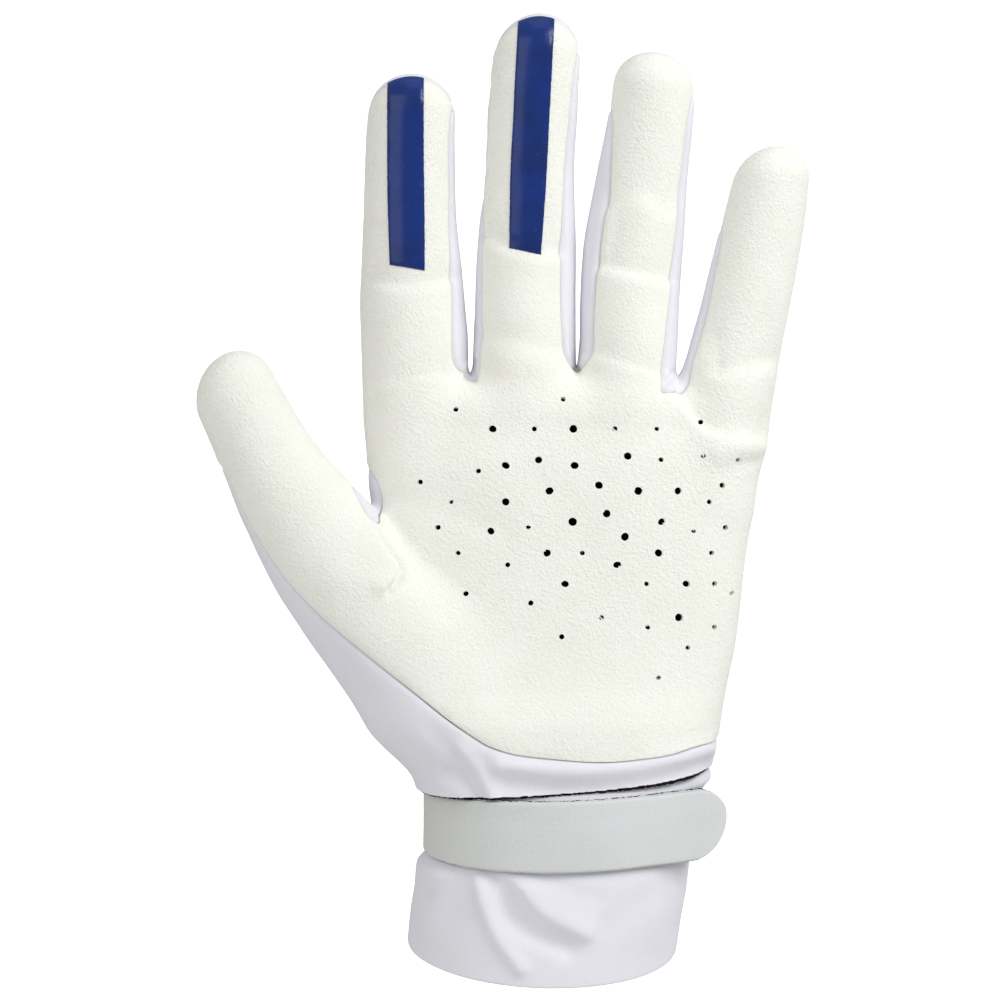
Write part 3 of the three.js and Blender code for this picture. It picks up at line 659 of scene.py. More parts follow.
class SkinMesh:
    """A triangle mesh in millimetres, with the steps that shape and cut it."""

    def __init__(self, points: Array, faces: Array) -> None:
        """Keeps the vertices and the triangles."""
        self.points = points
        self.faces = faces

    @classmethod
    def around(cls, value: Field, axes: Sequence[Array]) -> "SkinMesh":
        """Meshes a field's zero surface, one vertex for each grid cell that it crosses.

        Args:
            value: The field, negative inside.
            axes: The grid's places along x, y and z.

        Returns:
            The mesh, its faces turned outwards.
        """
        grid = np.stack(np.meshgrid(*axes, indexing="ij"), axis=-1)
        shape = grid.shape[:3]
        values = np.concatenate([value(slab.reshape(-1, 3)) for slab in grid]).reshape(shape)
        inside = values < 0
        corners = list(np.ndindex(2, 2, 2))
        cut = [slice(0, -1), slice(1, None)]
        count = sum(inside[cut[i], cut[j], cut[k]].astype(int) for i, j, k in corners)
        cells = np.argwhere((count > 0) & (count < 8))
        index = np.full(tuple(n - 1 for n in shape), -1)
        index[tuple(cells.T)] = np.arange(len(cells))
        total = np.zeros((len(cells), 3))
        hits = np.zeros(len(cells))
        for a in corners:
            for axis in range(3):
                if a[axis]:
                    continue
                b = tuple(1 if i == axis else a[i] for i in range(3))
                at_a, at_b = tuple((cells + a).T), tuple((cells + b).T)
                crossed = inside[at_a] != inside[at_b]
                va, vb = values[at_a], values[at_b]
                t = np.where(crossed, va / np.where(crossed, va - vb, 1.0), 0.0)[:, None]
                total += np.where(crossed[:, None], grid[at_a] * (1 - t) + grid[at_b] * t, 0.0)
                hits += crossed
        quads = []
        for axis in range(3):
            one, two = (axis + 1) % 3, (axis + 2) % 3
            low, high = np.moveaxis(inside, axis, 0)[:-1], np.moveaxis(inside, axis, 0)[1:]
            places = np.argwhere(np.moveaxis(low != high, 0, axis))
            inner = (places[:, one] > 0) & (places[:, two] > 0)
            inner &= (places[:, one] < shape[one] - 1) & (places[:, two] < shape[two] - 1)
            places = places[inner]
            ring = []
            for step_one, step_two in ((1, 1), (0, 1), (0, 0), (1, 0)):
                shift = np.zeros(3, int)
                shift[one], shift[two] = -step_one, -step_two
                ring.append(index[tuple((places + shift).T)])
            quad = np.stack(ring, axis=1)
            leaving = inside[tuple(places.T)]
            quads.append(np.where(leaving[:, None], quad, quad[:, ::-1]))
        quad = np.concatenate(quads)
        faces = np.concatenate([quad[:, [0, 1, 2]], quad[:, [0, 2, 3]]])
        return cls(total / hits[:, None], faces)

    def edges(self) -> tuple[Array, Array]:
        """Returns the edges once each, and the edge numbers of each face's three sides."""
        sides = np.sort(self.faces[:, [0, 1, 1, 2, 2, 0]].reshape(-1, 2), axis=1)
        keys = sides[:, 0] * (len(self.points) + 1) + sides[:, 1]
        _, first, inverse = np.unique(keys, return_index=True, return_inverse=True)
        return sides[first], inverse.reshape(-1, 3)

    def relax(self, rounds: int, share: float) -> None:
        """Moves each vertex towards its neighbours' mean, to even out the triangles."""
        edges, _ = self.edges()
        ends = np.concatenate([edges, edges[:, ::-1]])
        count = np.bincount(ends[:, 0], minlength=len(self.points))[:, None]
        for _ in range(rounds):
            mean = np.stack(
                [
                    np.bincount(ends[:, 0], self.points[ends[:, 1], i], len(self.points))
                    for i in range(3)
                ],
                axis=1,
            )
            self.points = self.points + share * (mean / np.maximum(count, 1) - self.points)

    def refine(self, wanted: Callable[[Array], Array]) -> None:
        """Splits edges, without leaving loose vertices.

        Args:
            wanted: Gives the longest edge allowed at each point.
        """
        edges, sides = self.edges()
        ends = self.points[edges]
        middle = ends.mean(axis=1)
        length = np.linalg.norm(ends[:, 1] - ends[:, 0], axis=1)
        split = length > wanted(middle)
        number = np.full(len(edges), -1)
        number[split] = len(self.points) + np.arange(split.sum())
        self.points = np.concatenate([self.points, middle[split]])
        new = number[sides]
        marks = (new >= 0).sum(axis=1)
        faces = [self.faces[marks == 0]]
        for count in (1, 2, 3):
            chosen = marks == count
            face, mid = self.faces[chosen], new[chosen]
            if count == 1:
                turn = np.argmax(mid >= 0, axis=1)
            else:
                turn = (np.argmin(mid >= 0, axis=1) + 1) % 3 if count == 2 else np.zeros(len(mid), int)
            pick = (turn[:, None] + np.arange(3)) % 3
            a, b, c = np.take_along_axis(face, pick, 1).T
            ab, bc, ca = np.take_along_axis(mid, pick, 1).T
            if count == 1:
                faces += [np.stack(t, 1) for t in ((a, ab, c), (ab, b, c))]
            elif count == 2:
                faces += [np.stack(t, 1) for t in ((ab, b, bc), (a, ab, bc), (a, bc, c))]
            else:
                faces += [np.stack(t, 1) for t in ((a, ab, ca), (ab, b, bc), (ca, bc, c), (ab, bc, ca))]
        self.faces = np.concatenate(faces)

    def kept(self, side: Array, slide: Union[Array, None] = None, near: float = 0.12) -> "SkinMesh":
        """Returns the part of the mesh where a value is positive, cut along its zero line.

        Args:
            side: The value at each vertex, about the distance from the line.
            slide: For each vertex, the way and distance onto the line.
            near: Vertices closer than this slide onto it.

        Returns:
            The part.
        """
        side = side.copy()
        points = self.points.copy()
        close = np.abs(side) < near
        if slide is not None:
            points[close] += slide[close]
        side[close] = 0.0
        inside = side >= 0
        count = inside[self.faces].sum(axis=1)
        solid = (side[self.faces] > 0).any(axis=1)
        kept = [self.faces[(count == 3) & solid]]
        made: dict[int, int] = {}
        fresh: list[Array] = []
        width = len(points) + 1

        def crossing(first: Array, second: Array) -> Array:
            """Returns the vertex where the line crosses each edge from inside to outside."""
            out = first.copy()
            cross = np.nonzero(side[first] > 0)[0]
            if len(cross) == 0:
                return out
            low = np.minimum(first[cross], second[cross])
            high = np.maximum(first[cross], second[cross])
            keys, place = np.unique(low * width + high, return_inverse=True)
            numbers = np.empty(len(keys), int)
            for i, key in enumerate(keys.tolist()):
                if key not in made:
                    made[key] = len(points) + len(fresh)
                    a, b = divmod(key, width)
                    t = side[a] / (side[a] - side[b])
                    fresh.append(points[a] * (1 - t) + points[b] * t)
                numbers[i] = made[key]
            out[cross] = numbers[place]
            return out

        one = self.faces[count == 1]
        turn = np.argmax(inside[one], axis=1)
        a, b, c = np.take_along_axis(one, (turn[:, None] + np.arange(3)) % 3, 1).T
        kept.append(np.stack([a, crossing(a, b), crossing(a, c)], 1))
        two = self.faces[count == 2]
        turn = (np.argmin(inside[two], axis=1) + 1) % 3
        a, b, c = np.take_along_axis(two, (turn[:, None] + np.arange(3)) % 3, 1).T
        bc, ac = crossing(b, c), crossing(a, c)
        kept += [np.stack([a, b, bc], 1), np.stack([a, bc, ac], 1)]
        faces = np.concatenate(kept)
        faces = faces[(faces != np.roll(faces, 1, axis=1)).all(axis=1)]
        every = np.concatenate([points, np.array(fresh).reshape(-1, 3)])
        used, renumbered = np.unique(faces, return_inverse=True)
        return SkinMesh(every[used], renumbered.reshape(-1, 3))

    def without_crumbs(self, smallest: int = 60) -> "SkinMesh":
        """Returns the mesh without loose scraps of a few faces."""
        label = np.arange(len(self.points))
        edges, _ = self.edges()
        while True:
            low = np.minimum(label[edges[:, 0]], label[edges[:, 1]])
            before = label.copy()
            np.minimum.at(label, edges[:, 0], low)
            np.minimum.at(label, edges[:, 1], low)
            label = label[label]
            if np.array_equal(before, label):
                break
        owner = label[self.faces[:, 0]]
        names, count = np.unique(owner, return_counts=True)
        faces = self.faces[np.isin(owner, names[count >= smallest])]
        used, renumbered = np.unique(faces, return_inverse=True)
        return SkinMesh(self.points[used], renumbered.reshape(-1, 3))

    def shell(self) -> list[list[int]]:
        """Returns the faces of the outside, of the inside turned over, and of the walls round the rim."""
        count = len(self.points)
        a, b = self.rim().T
        walls = np.stack([b, a, a + count, b + count], axis=1)
        return self.faces.tolist() + (self.faces[:, ::-1] + count).tolist() + walls.tolist()

    def rim(self) -> Array:
        """Returns the open edges, each in the direction of its face."""
        sides = self.faces[:, [0, 1, 1, 2, 2, 0]].reshape(-1, 2)
        width = len(self.points) + 1
        forward = sides[:, 0] * width + sides[:, 1]
        backward = sides[:, 1] * width + sides[:, 0]
        return sides[~np.isin(forward, backward)]


def rounded(points: Points, rounds: int = 2) -> Array:
    """Returns a closed outline with its corners cut round."""
    line = np.array(points, float)
    for _ in range(rounds):
        after = np.roll(line, -1, axis=0)
        line = np.stack([0.8 * line + 0.2 * after, 0.2 * line + 0.8 * after], axis=1).reshape(-1, 2)
    return line


def curved(points: Points, steps: int = 5) -> Array:
    """Returns an open line bent smoothly through its points."""
    line = np.array(points, float)
    at = np.arange(len(line))
    fine = np.linspace(0, len(line) - 1, (len(line) - 1) * steps + 1)
    slope = np.gradient(line, axis=0)
    i = np.clip(fine.astype(int), 0, len(line) - 2)
    t = (fine - at[i])[:, None]
    return cubic(t, (line[i], line[i + 1]), (slope[i], slope[i + 1]), np.ones(1))


class Relief:
    """Folds pressed into the skin, with a little unevenness between them."""

    UNEVEN_SCALE = 9.0
    SHORTEST_END = 2.0
    WIDEST_SHARP = 1.1
    SHARP_REACH = 1.6

    def __init__(self, folds: Iterable[Fold], uneven: float, seed: int) -> None:
        """Keeps the folds.

        Args:
            folds: The lines to raise or sink.
            uneven: Height of the slow unevenness.
            seed: Its seed.
        """
        self.folds = [(fold, curved(fold.points)) for fold in folds]
        self.uneven = uneven
        self.noise = SoftNoise(seed, self.UNEVEN_SCALE)

    def sharp(self, points: Array) -> Array:
        """Returns which points lie near a narrow fold."""
        found = np.zeros(len(points), bool)
        for fold, line in self.folds:
            if min(fold.left, fold.right) > self.WIDEST_SHARP:
                continue
            reach = self.SHARP_REACH
            flat = points[:, [0, 2]]
            near = ((flat > line.min(0) - reach) & (flat < line.max(0) + reach)).all(axis=1)
            near = np.nonzero(near & (fold.face.value * points[:, 1] > -6.0 * fold.face.value))[0]
            across, beyond, _ = self.beside(flat[near], line)
            found[near] |= np.hypot(across, beyond) < reach
        return found

    @staticmethod
    def beside(flat: Array, line: Array) -> tuple[Array, Array, Array]:
        """Measures points against a line.

        Args:
            flat: The points' x and z.
            line: The line's points.

        Returns:
            Each point's distance across the line, how far it lies past an end, and whether it is
            on the left.
        """
        best = np.full(len(flat), np.inf)
        across, beyond = best.copy(), np.zeros(len(flat))
        left = np.zeros(len(flat), bool)
        last = len(line) - 2
        for i, (start, end) in enumerate(zip(line[:-1], line[1:])):
            way = end - start
            length = np.linalg.norm(way)
            from_start = flat - start
            t = from_start @ way / length**2
            away = np.linalg.norm(from_start - np.clip(t, 0.0, 1.0)[:, None] * way, axis=1)
            side = (way[0] * from_start[:, 1] - way[1] * from_start[:, 0]) / length
            past = np.maximum(-t * (i == 0), (t - 1) * (i == last)).clip(0.0) * length
            closer = away < best
            best = np.where(closer, away, best)
            across = np.where(closer, np.where(past > 0, np.abs(side), away), across)
            beyond = np.where(closer, past, beyond)
            left = np.where(closer, side > 0, left)
        return across, beyond, left

    def height(self, points: Array, normals: Array) -> Array:
        """Returns how far the skin stands out at each point.

        Args:
            points: Places on the smooth form.
            normals: Its outward normals there.

        Returns:
            The heights.
        """
        total = self.uneven * self.noise(points)
        flat = points[:, [0, 2]]
        for fold, line in self.folds:
            reach = 3 * max(fold.left, fold.right)
            low, high = line.min(0) - reach, line.max(0) + reach
            facing = fold.face.value * normals[:, 1]
            near = np.nonzero(((flat > low) & (flat < high)).all(axis=1) & (facing > 0))[0]
            across, beyond, left = self.beside(flat[near], line)
            width = np.where(left, fold.left, fold.right)
            fading = max(self.SHORTEST_END, min(fold.left, fold.right))
            share = np.exp(-((across / width) ** 2) - (beyond / fading) ** 2)
            total[near] += fold.height * share * smooth_step(facing[near] / 0.5)
        return total


class Seams:
    """Where the suede, the gussets and the back meet, as distances over the skin."""

    RASTER_STEP = 0.4
    RASTER_MARGIN = 6.0
    PROBE = 0.15
    NEARBY = 4.0
    FLATTEST = 0.25
    TIP_REACH = 13.0
    ROOT_FROM, ROOT_OVER = 118.0, 10.0
    THUMB_SIDE = (
        (-38.0, 60.0), (-41.0, 100.0), (-42.5, 108.0), (-48.0, 119.0), (-54.0, 134.0), (-60.0, 160.0),
    )

    def __init__(self, form: HandForm) -> None:
        """Draws the suede's outline on a raster, to be read quickly."""
        self.form = form
        outline = rounded([point for part in SUEDE_OUTLINE.values() for point in part])
        self.low = outline.min(0) - self.RASTER_MARGIN
        count = np.ceil((outline.max(0) + self.RASTER_MARGIN - self.low) / self.RASTER_STEP).astype(int)
        xs, zs = (self.low[i] + self.RASTER_STEP * np.arange(count[i]) for i in range(2))
        flat = np.stack(np.meshgrid(xs, zs, indexing="ij"), axis=-1).reshape(-1, 2)
        closed = np.concatenate([outline, outline[:1]])
        across, beyond, _ = Relief.beside(flat, closed)
        away = np.hypot(across, beyond)
        within = np.zeros(len(flat), bool)
        for (x0, z0), (x1, z1) in zip(closed[:-1], closed[1:]):
            if z0 == z1:
                continue
            spans = (flat[:, 1] > min(z0, z1)) & (flat[:, 1] <= max(z0, z1))
            within ^= spans & (flat[:, 0] < x0 + (flat[:, 1] - z0) * (x1 - x0) / (z1 - z0))
        self.raster = np.where(within, away, -away).reshape(count)
        side = np.array(self.THUMB_SIDE)
        self.thumb_side = Profile(side[:, 1], side[:, 0])

    def outline(self, points: Array) -> Array:
        """Returns the distance inside the suede's outline, seen from the palm side."""
        at = (points[:, [0, 2]] - self.low) / self.RASTER_STEP
        limit = np.array(self.raster.shape) - 1.001
        at = np.clip(at, 0, limit)
        i, k = at.astype(int).T
        s, t = (at - at.astype(int)).T
        r = self.raster
        return (
            r[i, k] * (1 - s) * (1 - t)
            + r[i + 1, k] * s * (1 - t)
            + r[i, k + 1] * (1 - s) * t
            + r[i + 1, k + 1] * s * t
        )

    def wrap(self, points: Array) -> Array:
        """Returns the y at which the suede ends on the glove's sides."""
        x, z = points[:, 0], points[:, 2]
        names = list(self.form.fingers)
        middles = [self.form.fingers[name].middle(z) for name in names]
        nearest = np.argmin([np.abs(x - middle[0]) for middle in middles], axis=0)
        planes = []
        for name, (_, y) in zip(names, middles):
            late = smooth_step((z - TIPS[name] + self.TIP_REACH) / self.TIP_REACH)
            planes.append(y + SIDE_WRAP + (TIP_WRAP[name] - SIDE_WRAP) * late)
        finger = np.choose(nearest, planes)
        along = points @ self.form.thumb.along
        _, thumb_y = self.form.thumb.middle(along)
        thumb = smooth_step((self.thumb_side(z) + 2 - x) / 4)
        root = smooth_step((z - self.ROOT_FROM) / self.ROOT_OVER)
        hand = HAND_Y + SIDE_WRAP
        return thumb * (thumb_y + SIDE_WRAP) + (1 - thumb) * (hand + (finger - hand) * root)

    def suede(self, points: Array) -> Array:
        """Returns a field that is positive on the suede."""
        return np.minimum(self.outline(points), self.wrap(points) - points[:, 1])

    def gusset(self, crotch: Crotch) -> Field:
        """Returns a field that is positive on one gusset, where it isn't suede."""
        near, far = (self.form.fingers[name] for name in (crotch.near, crotch.far))

        def value(points: Array) -> Array:
            """Returns the least distance to the gusset's limits."""
            x, y, z = points.T
            near_x, near_y = near.middle(z)
            far_x, far_y = far.middle(z)
            on_near = x < (near_x + far_x) / 2
            end = np.where(on_near, crotch.near_end, crotch.far_end)
            back = np.where(on_near, near_y, far_y) + GUSSET_BACK
            limits = [x - near_x, far_x - x, back - y, z - crotch.low + GUSSET_FOOT, end - z]
            return np.min(limits, axis=0)

        return value

    def body(self, points: Array) -> Array:
        """Returns the height above the body's cut edge at the wrist."""
        level, along_x, along_y = BODY_EDGE
        return points[:, 2] - level - along_x * points[:, 0] - along_y * points[:, 1]

    def over_skin(self, value: Field, points: Array, normals: Array) -> tuple[Array, Array]:
        """Turns a field into distances over the skin.

        Args:
            value: The field.
            points: Places on the skin.
            normals: The skin's normals there.

        Returns:
            The distance from the field's zero line, and the way onto that line.
        """
        here = value(points)
        slope = np.zeros_like(points)
        near = np.nonzero(np.abs(here) < self.NEARBY)[0]
        at = points[near]
        slope[near] = gradient(value, at, self.PROBE)
        slope -= (slope * normals).sum(1, keepdims=True) * normals
        size = np.maximum(np.linalg.norm(slope, axis=1), self.FLATTEST)
        return here / size, -slope * (here / size**2)[:, None]


@dataclass
class Vents:
    """The holes through the palm, a few of them cut ragged."""

    ragged: float = 0.12
    seed: int = SEED + 3
    holes: list[tuple[float, float, float, float, float]] = field(default_factory=list)

    def __post_init__(self) -> None:
        """Lists each hole's x, z, radius, flatness and turn."""
        rng = np.random.default_rng(self.seed)
        for z, small, large in VENTS:
            sizes = [(x, SMALL_VENT_RADIUS) for x in small] + [(x, LARGE_VENT_RADIUS) for x in large]
            for x, radius in sizes:
                flat = 1 - abs(rng.normal(0, self.ragged))
                grown = radius * rng.uniform(0.92, 1.05)
                self.holes.append((x, z, grown, max(flat, 0.72), rng.uniform(-0.7, 0.9)))

    def value(self, points: Array) -> Array:
        """Returns the distance outside the nearest hole, seen from the palm side."""
        best = np.full(len(points), 9.0)
        for x, z, radius, flat, turn in self.holes:
            dx, dz = points[:, 0] - x, points[:, 2] - z
            near = np.nonzero((np.abs(dx) < 4) & (np.abs(dz) < 4) & (points[:, 1] < HAND_Y))[0]
            c, s = math.cos(turn), math.sin(turn)
            u = dx[near] * c + dz[near] * s
            v = (dz[near] * c - dx[near] * s) / flat
            best[near] = np.minimum(best[near], np.hypot(u, v) - radius)
        return best


Operand = Union["Signal", float, Sequence[float]]


@dataclass(frozen=True)
class Signal:
    """A value, colour or vector in a material; Python's operators add its nodes."""

    paint: "Paint"
    socket: bpy.types.NodeSocket

    def _join(self, operation: str, first: Operand, second: Operand) -> "Signal":
        """Adds a Math node and returns its result."""
        return self.paint.node("ShaderNodeMath", {"operation": operation}, {0: first, 1: second})

    def __add__(self, other: Operand) -> "Signal":
        """Returns the sum."""
        return self._join("ADD", self, other)

    def __radd__(self, other: Operand) -> "Signal":
        """Returns the sum."""
        return self._join("ADD", other, self)

    def __rsub__(self, other: Operand) -> "Signal":
        """Returns the difference."""
        return self._join("SUBTRACT", other, self)

    def __mul__(self, other: Operand) -> "Signal":
        """Returns the product."""
        return self._join("MULTIPLY", self, other)

    def ranged(self, low: float, high: float) -> "Signal":
        """Returns 0 at low, 1 at high and a smooth rise between."""
        return self.paint.node(
            "ShaderNodeMapRange",
            {"interpolation_type": "SMOOTHSTEP", "clamp": True},
            {"Value": self, "From Min": low, "From Max": high},
        )


class Paint:
    """One procedural material in the making."""

    def __init__(self, name: str) -> None:
        """Starts an empty material with its shader and output."""
        self.material = bpy.data.materials.new(name)
        self.material.use_nodes = True
        self.tree = self.material.node_tree
        self.tree.nodes.clear()
        output = self.tree.nodes.new("ShaderNodeOutputMaterial")
        self.shader = self.tree.nodes.new("ShaderNodeBsdfPrincipled")
        self.tree.links.new(self.shader.outputs[0], output.inputs["Surface"])

    def node(
        self,
        kind: str,
        settings: Union[dict[str, Any], None] = None,
        inputs: Union[dict[Union[str, int], Operand], None] = None,
        output: Union[str, int] = 0,
    ) -> Signal:
        """Adds a node.

        Args:
            kind: Its type.
            settings: Its own properties, set first.
            inputs: A value or a link for each socket named.
            output: The output to return.

        Returns:
            That output.
        """
        node = self.tree.nodes.new(kind)
        for name, value in (settings or {}).items():
            setattr(node, name, value)
        for name, value in (inputs or {}).items():
            self.put(node.inputs[name], value)
        return Signal(self, node.outputs[output])

    def put(self, socket: bpy.types.NodeSocket, value: Operand) -> None:
        """Sets or links one socket."""
        if isinstance(value, Signal):
            self.tree.links.new(value.socket, socket)
        elif socket.type == "RGBA":
            socket.default_value = (*value, 1.0)
        else:
            socket.default_value = value

    def place(self) -> Signal:
        """Returns the place on the object, in metres."""
        return self.node("ShaderNodeTexCoord", output="Object")

    def noise(self, scale: float, detail: float = 2.0, rough: float = 0.5) -> Signal:
        """Returns soft noise from 0 to 1, scale features to the metre."""
        inputs = {"Vector": self.place(), "Scale": scale, "Detail": detail, "Roughness": rough}
        return self.node("ShaderNodeTexNoise", inputs=inputs)

    def cells(self, scale: float, feature: str = "F1") -> Signal:
        """Returns the distance in a pattern of cells, scale of them to the metre."""
        inputs = {"Vector": self.place(), "Scale": scale}
        return self.node("ShaderNodeTexVoronoi", {"feature": feature}, inputs)

    def measure(self, name: str) -> Signal:
        """Returns a value stored on the mesh."""
        return self.node("ShaderNodeAttribute", {"attribute_name": name}, output="Fac")

    def mix(self, first: Operand, second: Operand, share: Operand) -> Signal:
        """Returns two colours mixed."""
        return self.node("ShaderNodeMix", {"data_type": "RGBA"}, {0: share, 6: first, 7: second}, output=2)

    def bump(self, height: Signal, depth: float) -> Signal:
        """Returns the normal of a relief whose height 1 stands depth millimetres out."""
        inputs = {"Strength": 1.0, "Distance": depth * MM, "Height": height}
        return self.node("ShaderNodeBump", inputs=inputs, output="Normal")

    def finish(self, **sockets: Operand) -> bpy.types.Material:
        """Sets the shader's sockets, named with underscores, and returns the material."""
        for name, value in sockets.items():
            self.put(self.shader.inputs[name.replace("_", " ")], value)
        return self.material


def tone(red: float, green: float, blue: float) -> Colour:
    """Returns a colour for the shader from its three shades of 255."""
    return tuple(((c / 255 + 0.055) / 1.055) ** 2.4 for c in (red, green, blue))


@dataclass(frozen=True)
class Suede:
    """Off-white synthetic suede with a short nap, and painted shade along its seams."""

    colour: Colour = tone(249, 249, 242)
    shade: Colour = tone(228, 229, 210)
    # The colour of the shade painted along the seams
    seam: Colour = tone(190, 188, 170)
    nap: float = 0.34

    def material(self) -> bpy.types.Material:
        """Returns the palm's material."""
        paint = Paint("suede")
        fine = paint.noise(2200, 3, 0.6)
        tufts = paint.cells(1400, "SMOOTH_F1")
        cloudy = paint.noise(90, 3, 0.5)
        worn = (fine.ranged(0.3, 0.75) * 0.5 + cloudy.ranged(0.3, 0.8) * 0.5) * 0.3
        base = paint.mix(self.colour, self.shade, worn)
        # Painted shade along the seams: up to 35 % of the seam colour within 0.45 mm of them
        seam = 1 - paint.measure("seam").ranged(0.0, 0.45)
        colour = paint.mix(base, self.seam, seam * 0.35)
        height = fine * 0.55 + tufts * 0.5 + paint.noise(1100, 2) * 0.5
        return paint.finish(
            Base_Color=colour,
            Roughness=0.92,
            Normal=paint.bump(height, self.nap),
            Specular_IOR_Level=0.2,
            Sheen_Weight=0.05,
            Sheen_Roughness=0.55,
        )


@dataclass(frozen=True)
class StretchCloth:
    """White stretch cloth, very finely knitted, with a faint cool tint."""

    colour: Colour = tone(235, 235, 241)
    shade: Colour = tone(221, 221, 229)
    # The colour of the shade painted along the seams
    seam: Colour = tone(170, 170, 176)
    ribs_to_the_metre: float = 2600.0

    def material(self) -> bpy.types.Material:
        """Returns the material of the back, the gussets and the cuff."""
        paint = Paint("stretch_cloth")
        place = paint.place()
        ribs = paint.node(
            "ShaderNodeTexWave",
            {"wave_type": "BANDS", "bands_direction": "DIAGONAL"},
            {"Vector": place, "Scale": self.ribs_to_the_metre / 6.28, "Distortion": 2.5, "Detail": 2.0},
        )
        grain = paint.noise(2400, 2)
        cloudy = paint.noise(60, 2)
        worn = grain.ranged(0.35, 0.8) * 0.3 + cloudy.ranged(0.3, 0.8) * 0.2
        base = paint.mix(self.colour, self.shade, worn)
        # Painted shade along the seams: up to half the seam colour within 0.35 mm of them
        seam = 1 - paint.measure("seam").ranged(0.0, 0.35)
        colour = paint.mix(base, self.seam, seam * 0.5)
        return paint.finish(
            Base_Color=colour,
            Roughness=0.78,
            Normal=paint.bump(ribs * 0.2 + grain * 0.8, 0.03),
            Specular_IOR_Level=0.3,
            Sheen_Weight=0.08,
            Sheen_Roughness=0.4,
        )


@dataclass(frozen=True)
class BlackBacking:
    """Black brushed backing on the inside of the skin and along cut edges."""

    colour: Colour = tone(24, 20, 20)
    fibre: Colour = tone(58, 50, 48)

    def material(self) -> bpy.types.Material:
        """Returns the backing's material."""
        paint = Paint("black_backing")
        fibres = paint.noise(2600, 3, 0.7)
        return paint.finish(
            Base_Color=paint.mix(self.colour, self.fibre, fibres.ranged(0.45, 0.8) * 0.5),
            Roughness=0.95,
            Normal=paint.bump(fibres, 0.15),
            Specular_IOR_Level=0.1,
        )


@dataclass(frozen=True)
class StrapLeather:
    """Cool grey pebbled leather, warmer where the strap turns round the wrist."""

    colour: Colour = tone(218, 221, 221)
    warm: Colour = tone(214, 214, 205)
    shade: Colour = tone(196, 198, 197)

    def material(self) -> bpy.types.Material:
        """Returns the strap's material."""
        paint = Paint("strap_leather")
        pebbles = paint.cells(1150, "SMOOTH_F1")
        fine = paint.noise(2800, 2)
        cloudy = paint.noise(45, 2)
        around = 1 - paint.measure("along").ranged(0.25, 0.75)
        base = paint.mix(self.colour, self.warm, around)
        worn = cloudy.ranged(0.3, 0.8) * 0.25 + fine.ranged(0.4, 0.8) * 0.2
        colour = paint.mix(base, self.shade, worn)
        return paint.finish(
            Base_Color=colour,
            Roughness=0.6,
            Normal=paint.bump(pebbles * 0.7 + fine * 0.3, 0.12),
            Specular_IOR_Level=0.35,
        )


@dataclass(frozen=True)
class GripRubber:
    """Deep blue glossy rubber film with tiny specks."""

    colour: Colour = tone(3, 44, 120)
    dark: Colour = tone(3, 38, 104)
    speck: Colour = tone(150, 160, 196)

    def material(self) -> bpy.types.Material:
        """Returns the grips' material."""
        paint = Paint("grip_rubber")
        cloudy = paint.noise(110, 3)
        specks = 1 - paint.cells(420).ranged(0.02, 0.05)
        chosen = paint.noise(260, 0).ranged(0.6, 0.66)
        base = paint.mix(self.colour, self.dark, cloudy.ranged(0.35, 0.7))
        colour = paint.mix(base, self.speck, specks * chosen)
        rough = 0.2 + paint.noise(500, 2).ranged(0.4, 0.8) * 0.12
        return paint.finish(
            Base_Color=colour,
            Roughness=rough,
            Normal=paint.bump(paint.noise(300, 2), 0.04),
            Specular_IOR_Level=0.35,
            Coat_Weight=0.1,
            Coat_Roughness=0.12,
        )


def make_object(
    name: str,
    points: Array,
    faces: Sequence[Sequence[int]],
    materials: Sequence[bpy.types.Material],
    chosen: Union[Sequence[int], None] = None,
    measures: Union[dict[str, Array], None] = None,
) -> bpy.types.Object:
    """Makes a smooth mesh object from millimetre points.

    Args:
        name: The piece's name.
        points: Its vertices.
        faces: Its faces, triangles or quads.
        materials: Its materials.
        chosen: Each face's material number.
        measures: Values to store on the vertices.

    Returns:
        The object, riding on the glove.
    """
    mesh = bpy.data.meshes.new(name)
    mesh.from_pydata((points * MM).tolist(), [], faces)
    for material in materials:
        mesh.materials.append(material)
    if chosen is not None:
        mesh.polygons.foreach_set("material_index", np.asarray(chosen, np.int32))
    for key, values in (measures or {}).items():
        attribute = mesh.attributes.new(key, "FLOAT", "POINT")
        attribute.data.foreach_set("value", np.asarray(values, np.float32))
    mesh.polygons.foreach_set("use_smooth", np.ones(len(mesh.polygons), bool))
    mesh.set_sharp_from_angle(angle=math.radians(SHARP_DEGREES))
    mesh.validate()
    mesh.update()
    piece = bpy.data.objects.new(name, mesh)
    bpy.context.scene.collection.objects.link(piece)
    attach(piece, "root")
    return piece


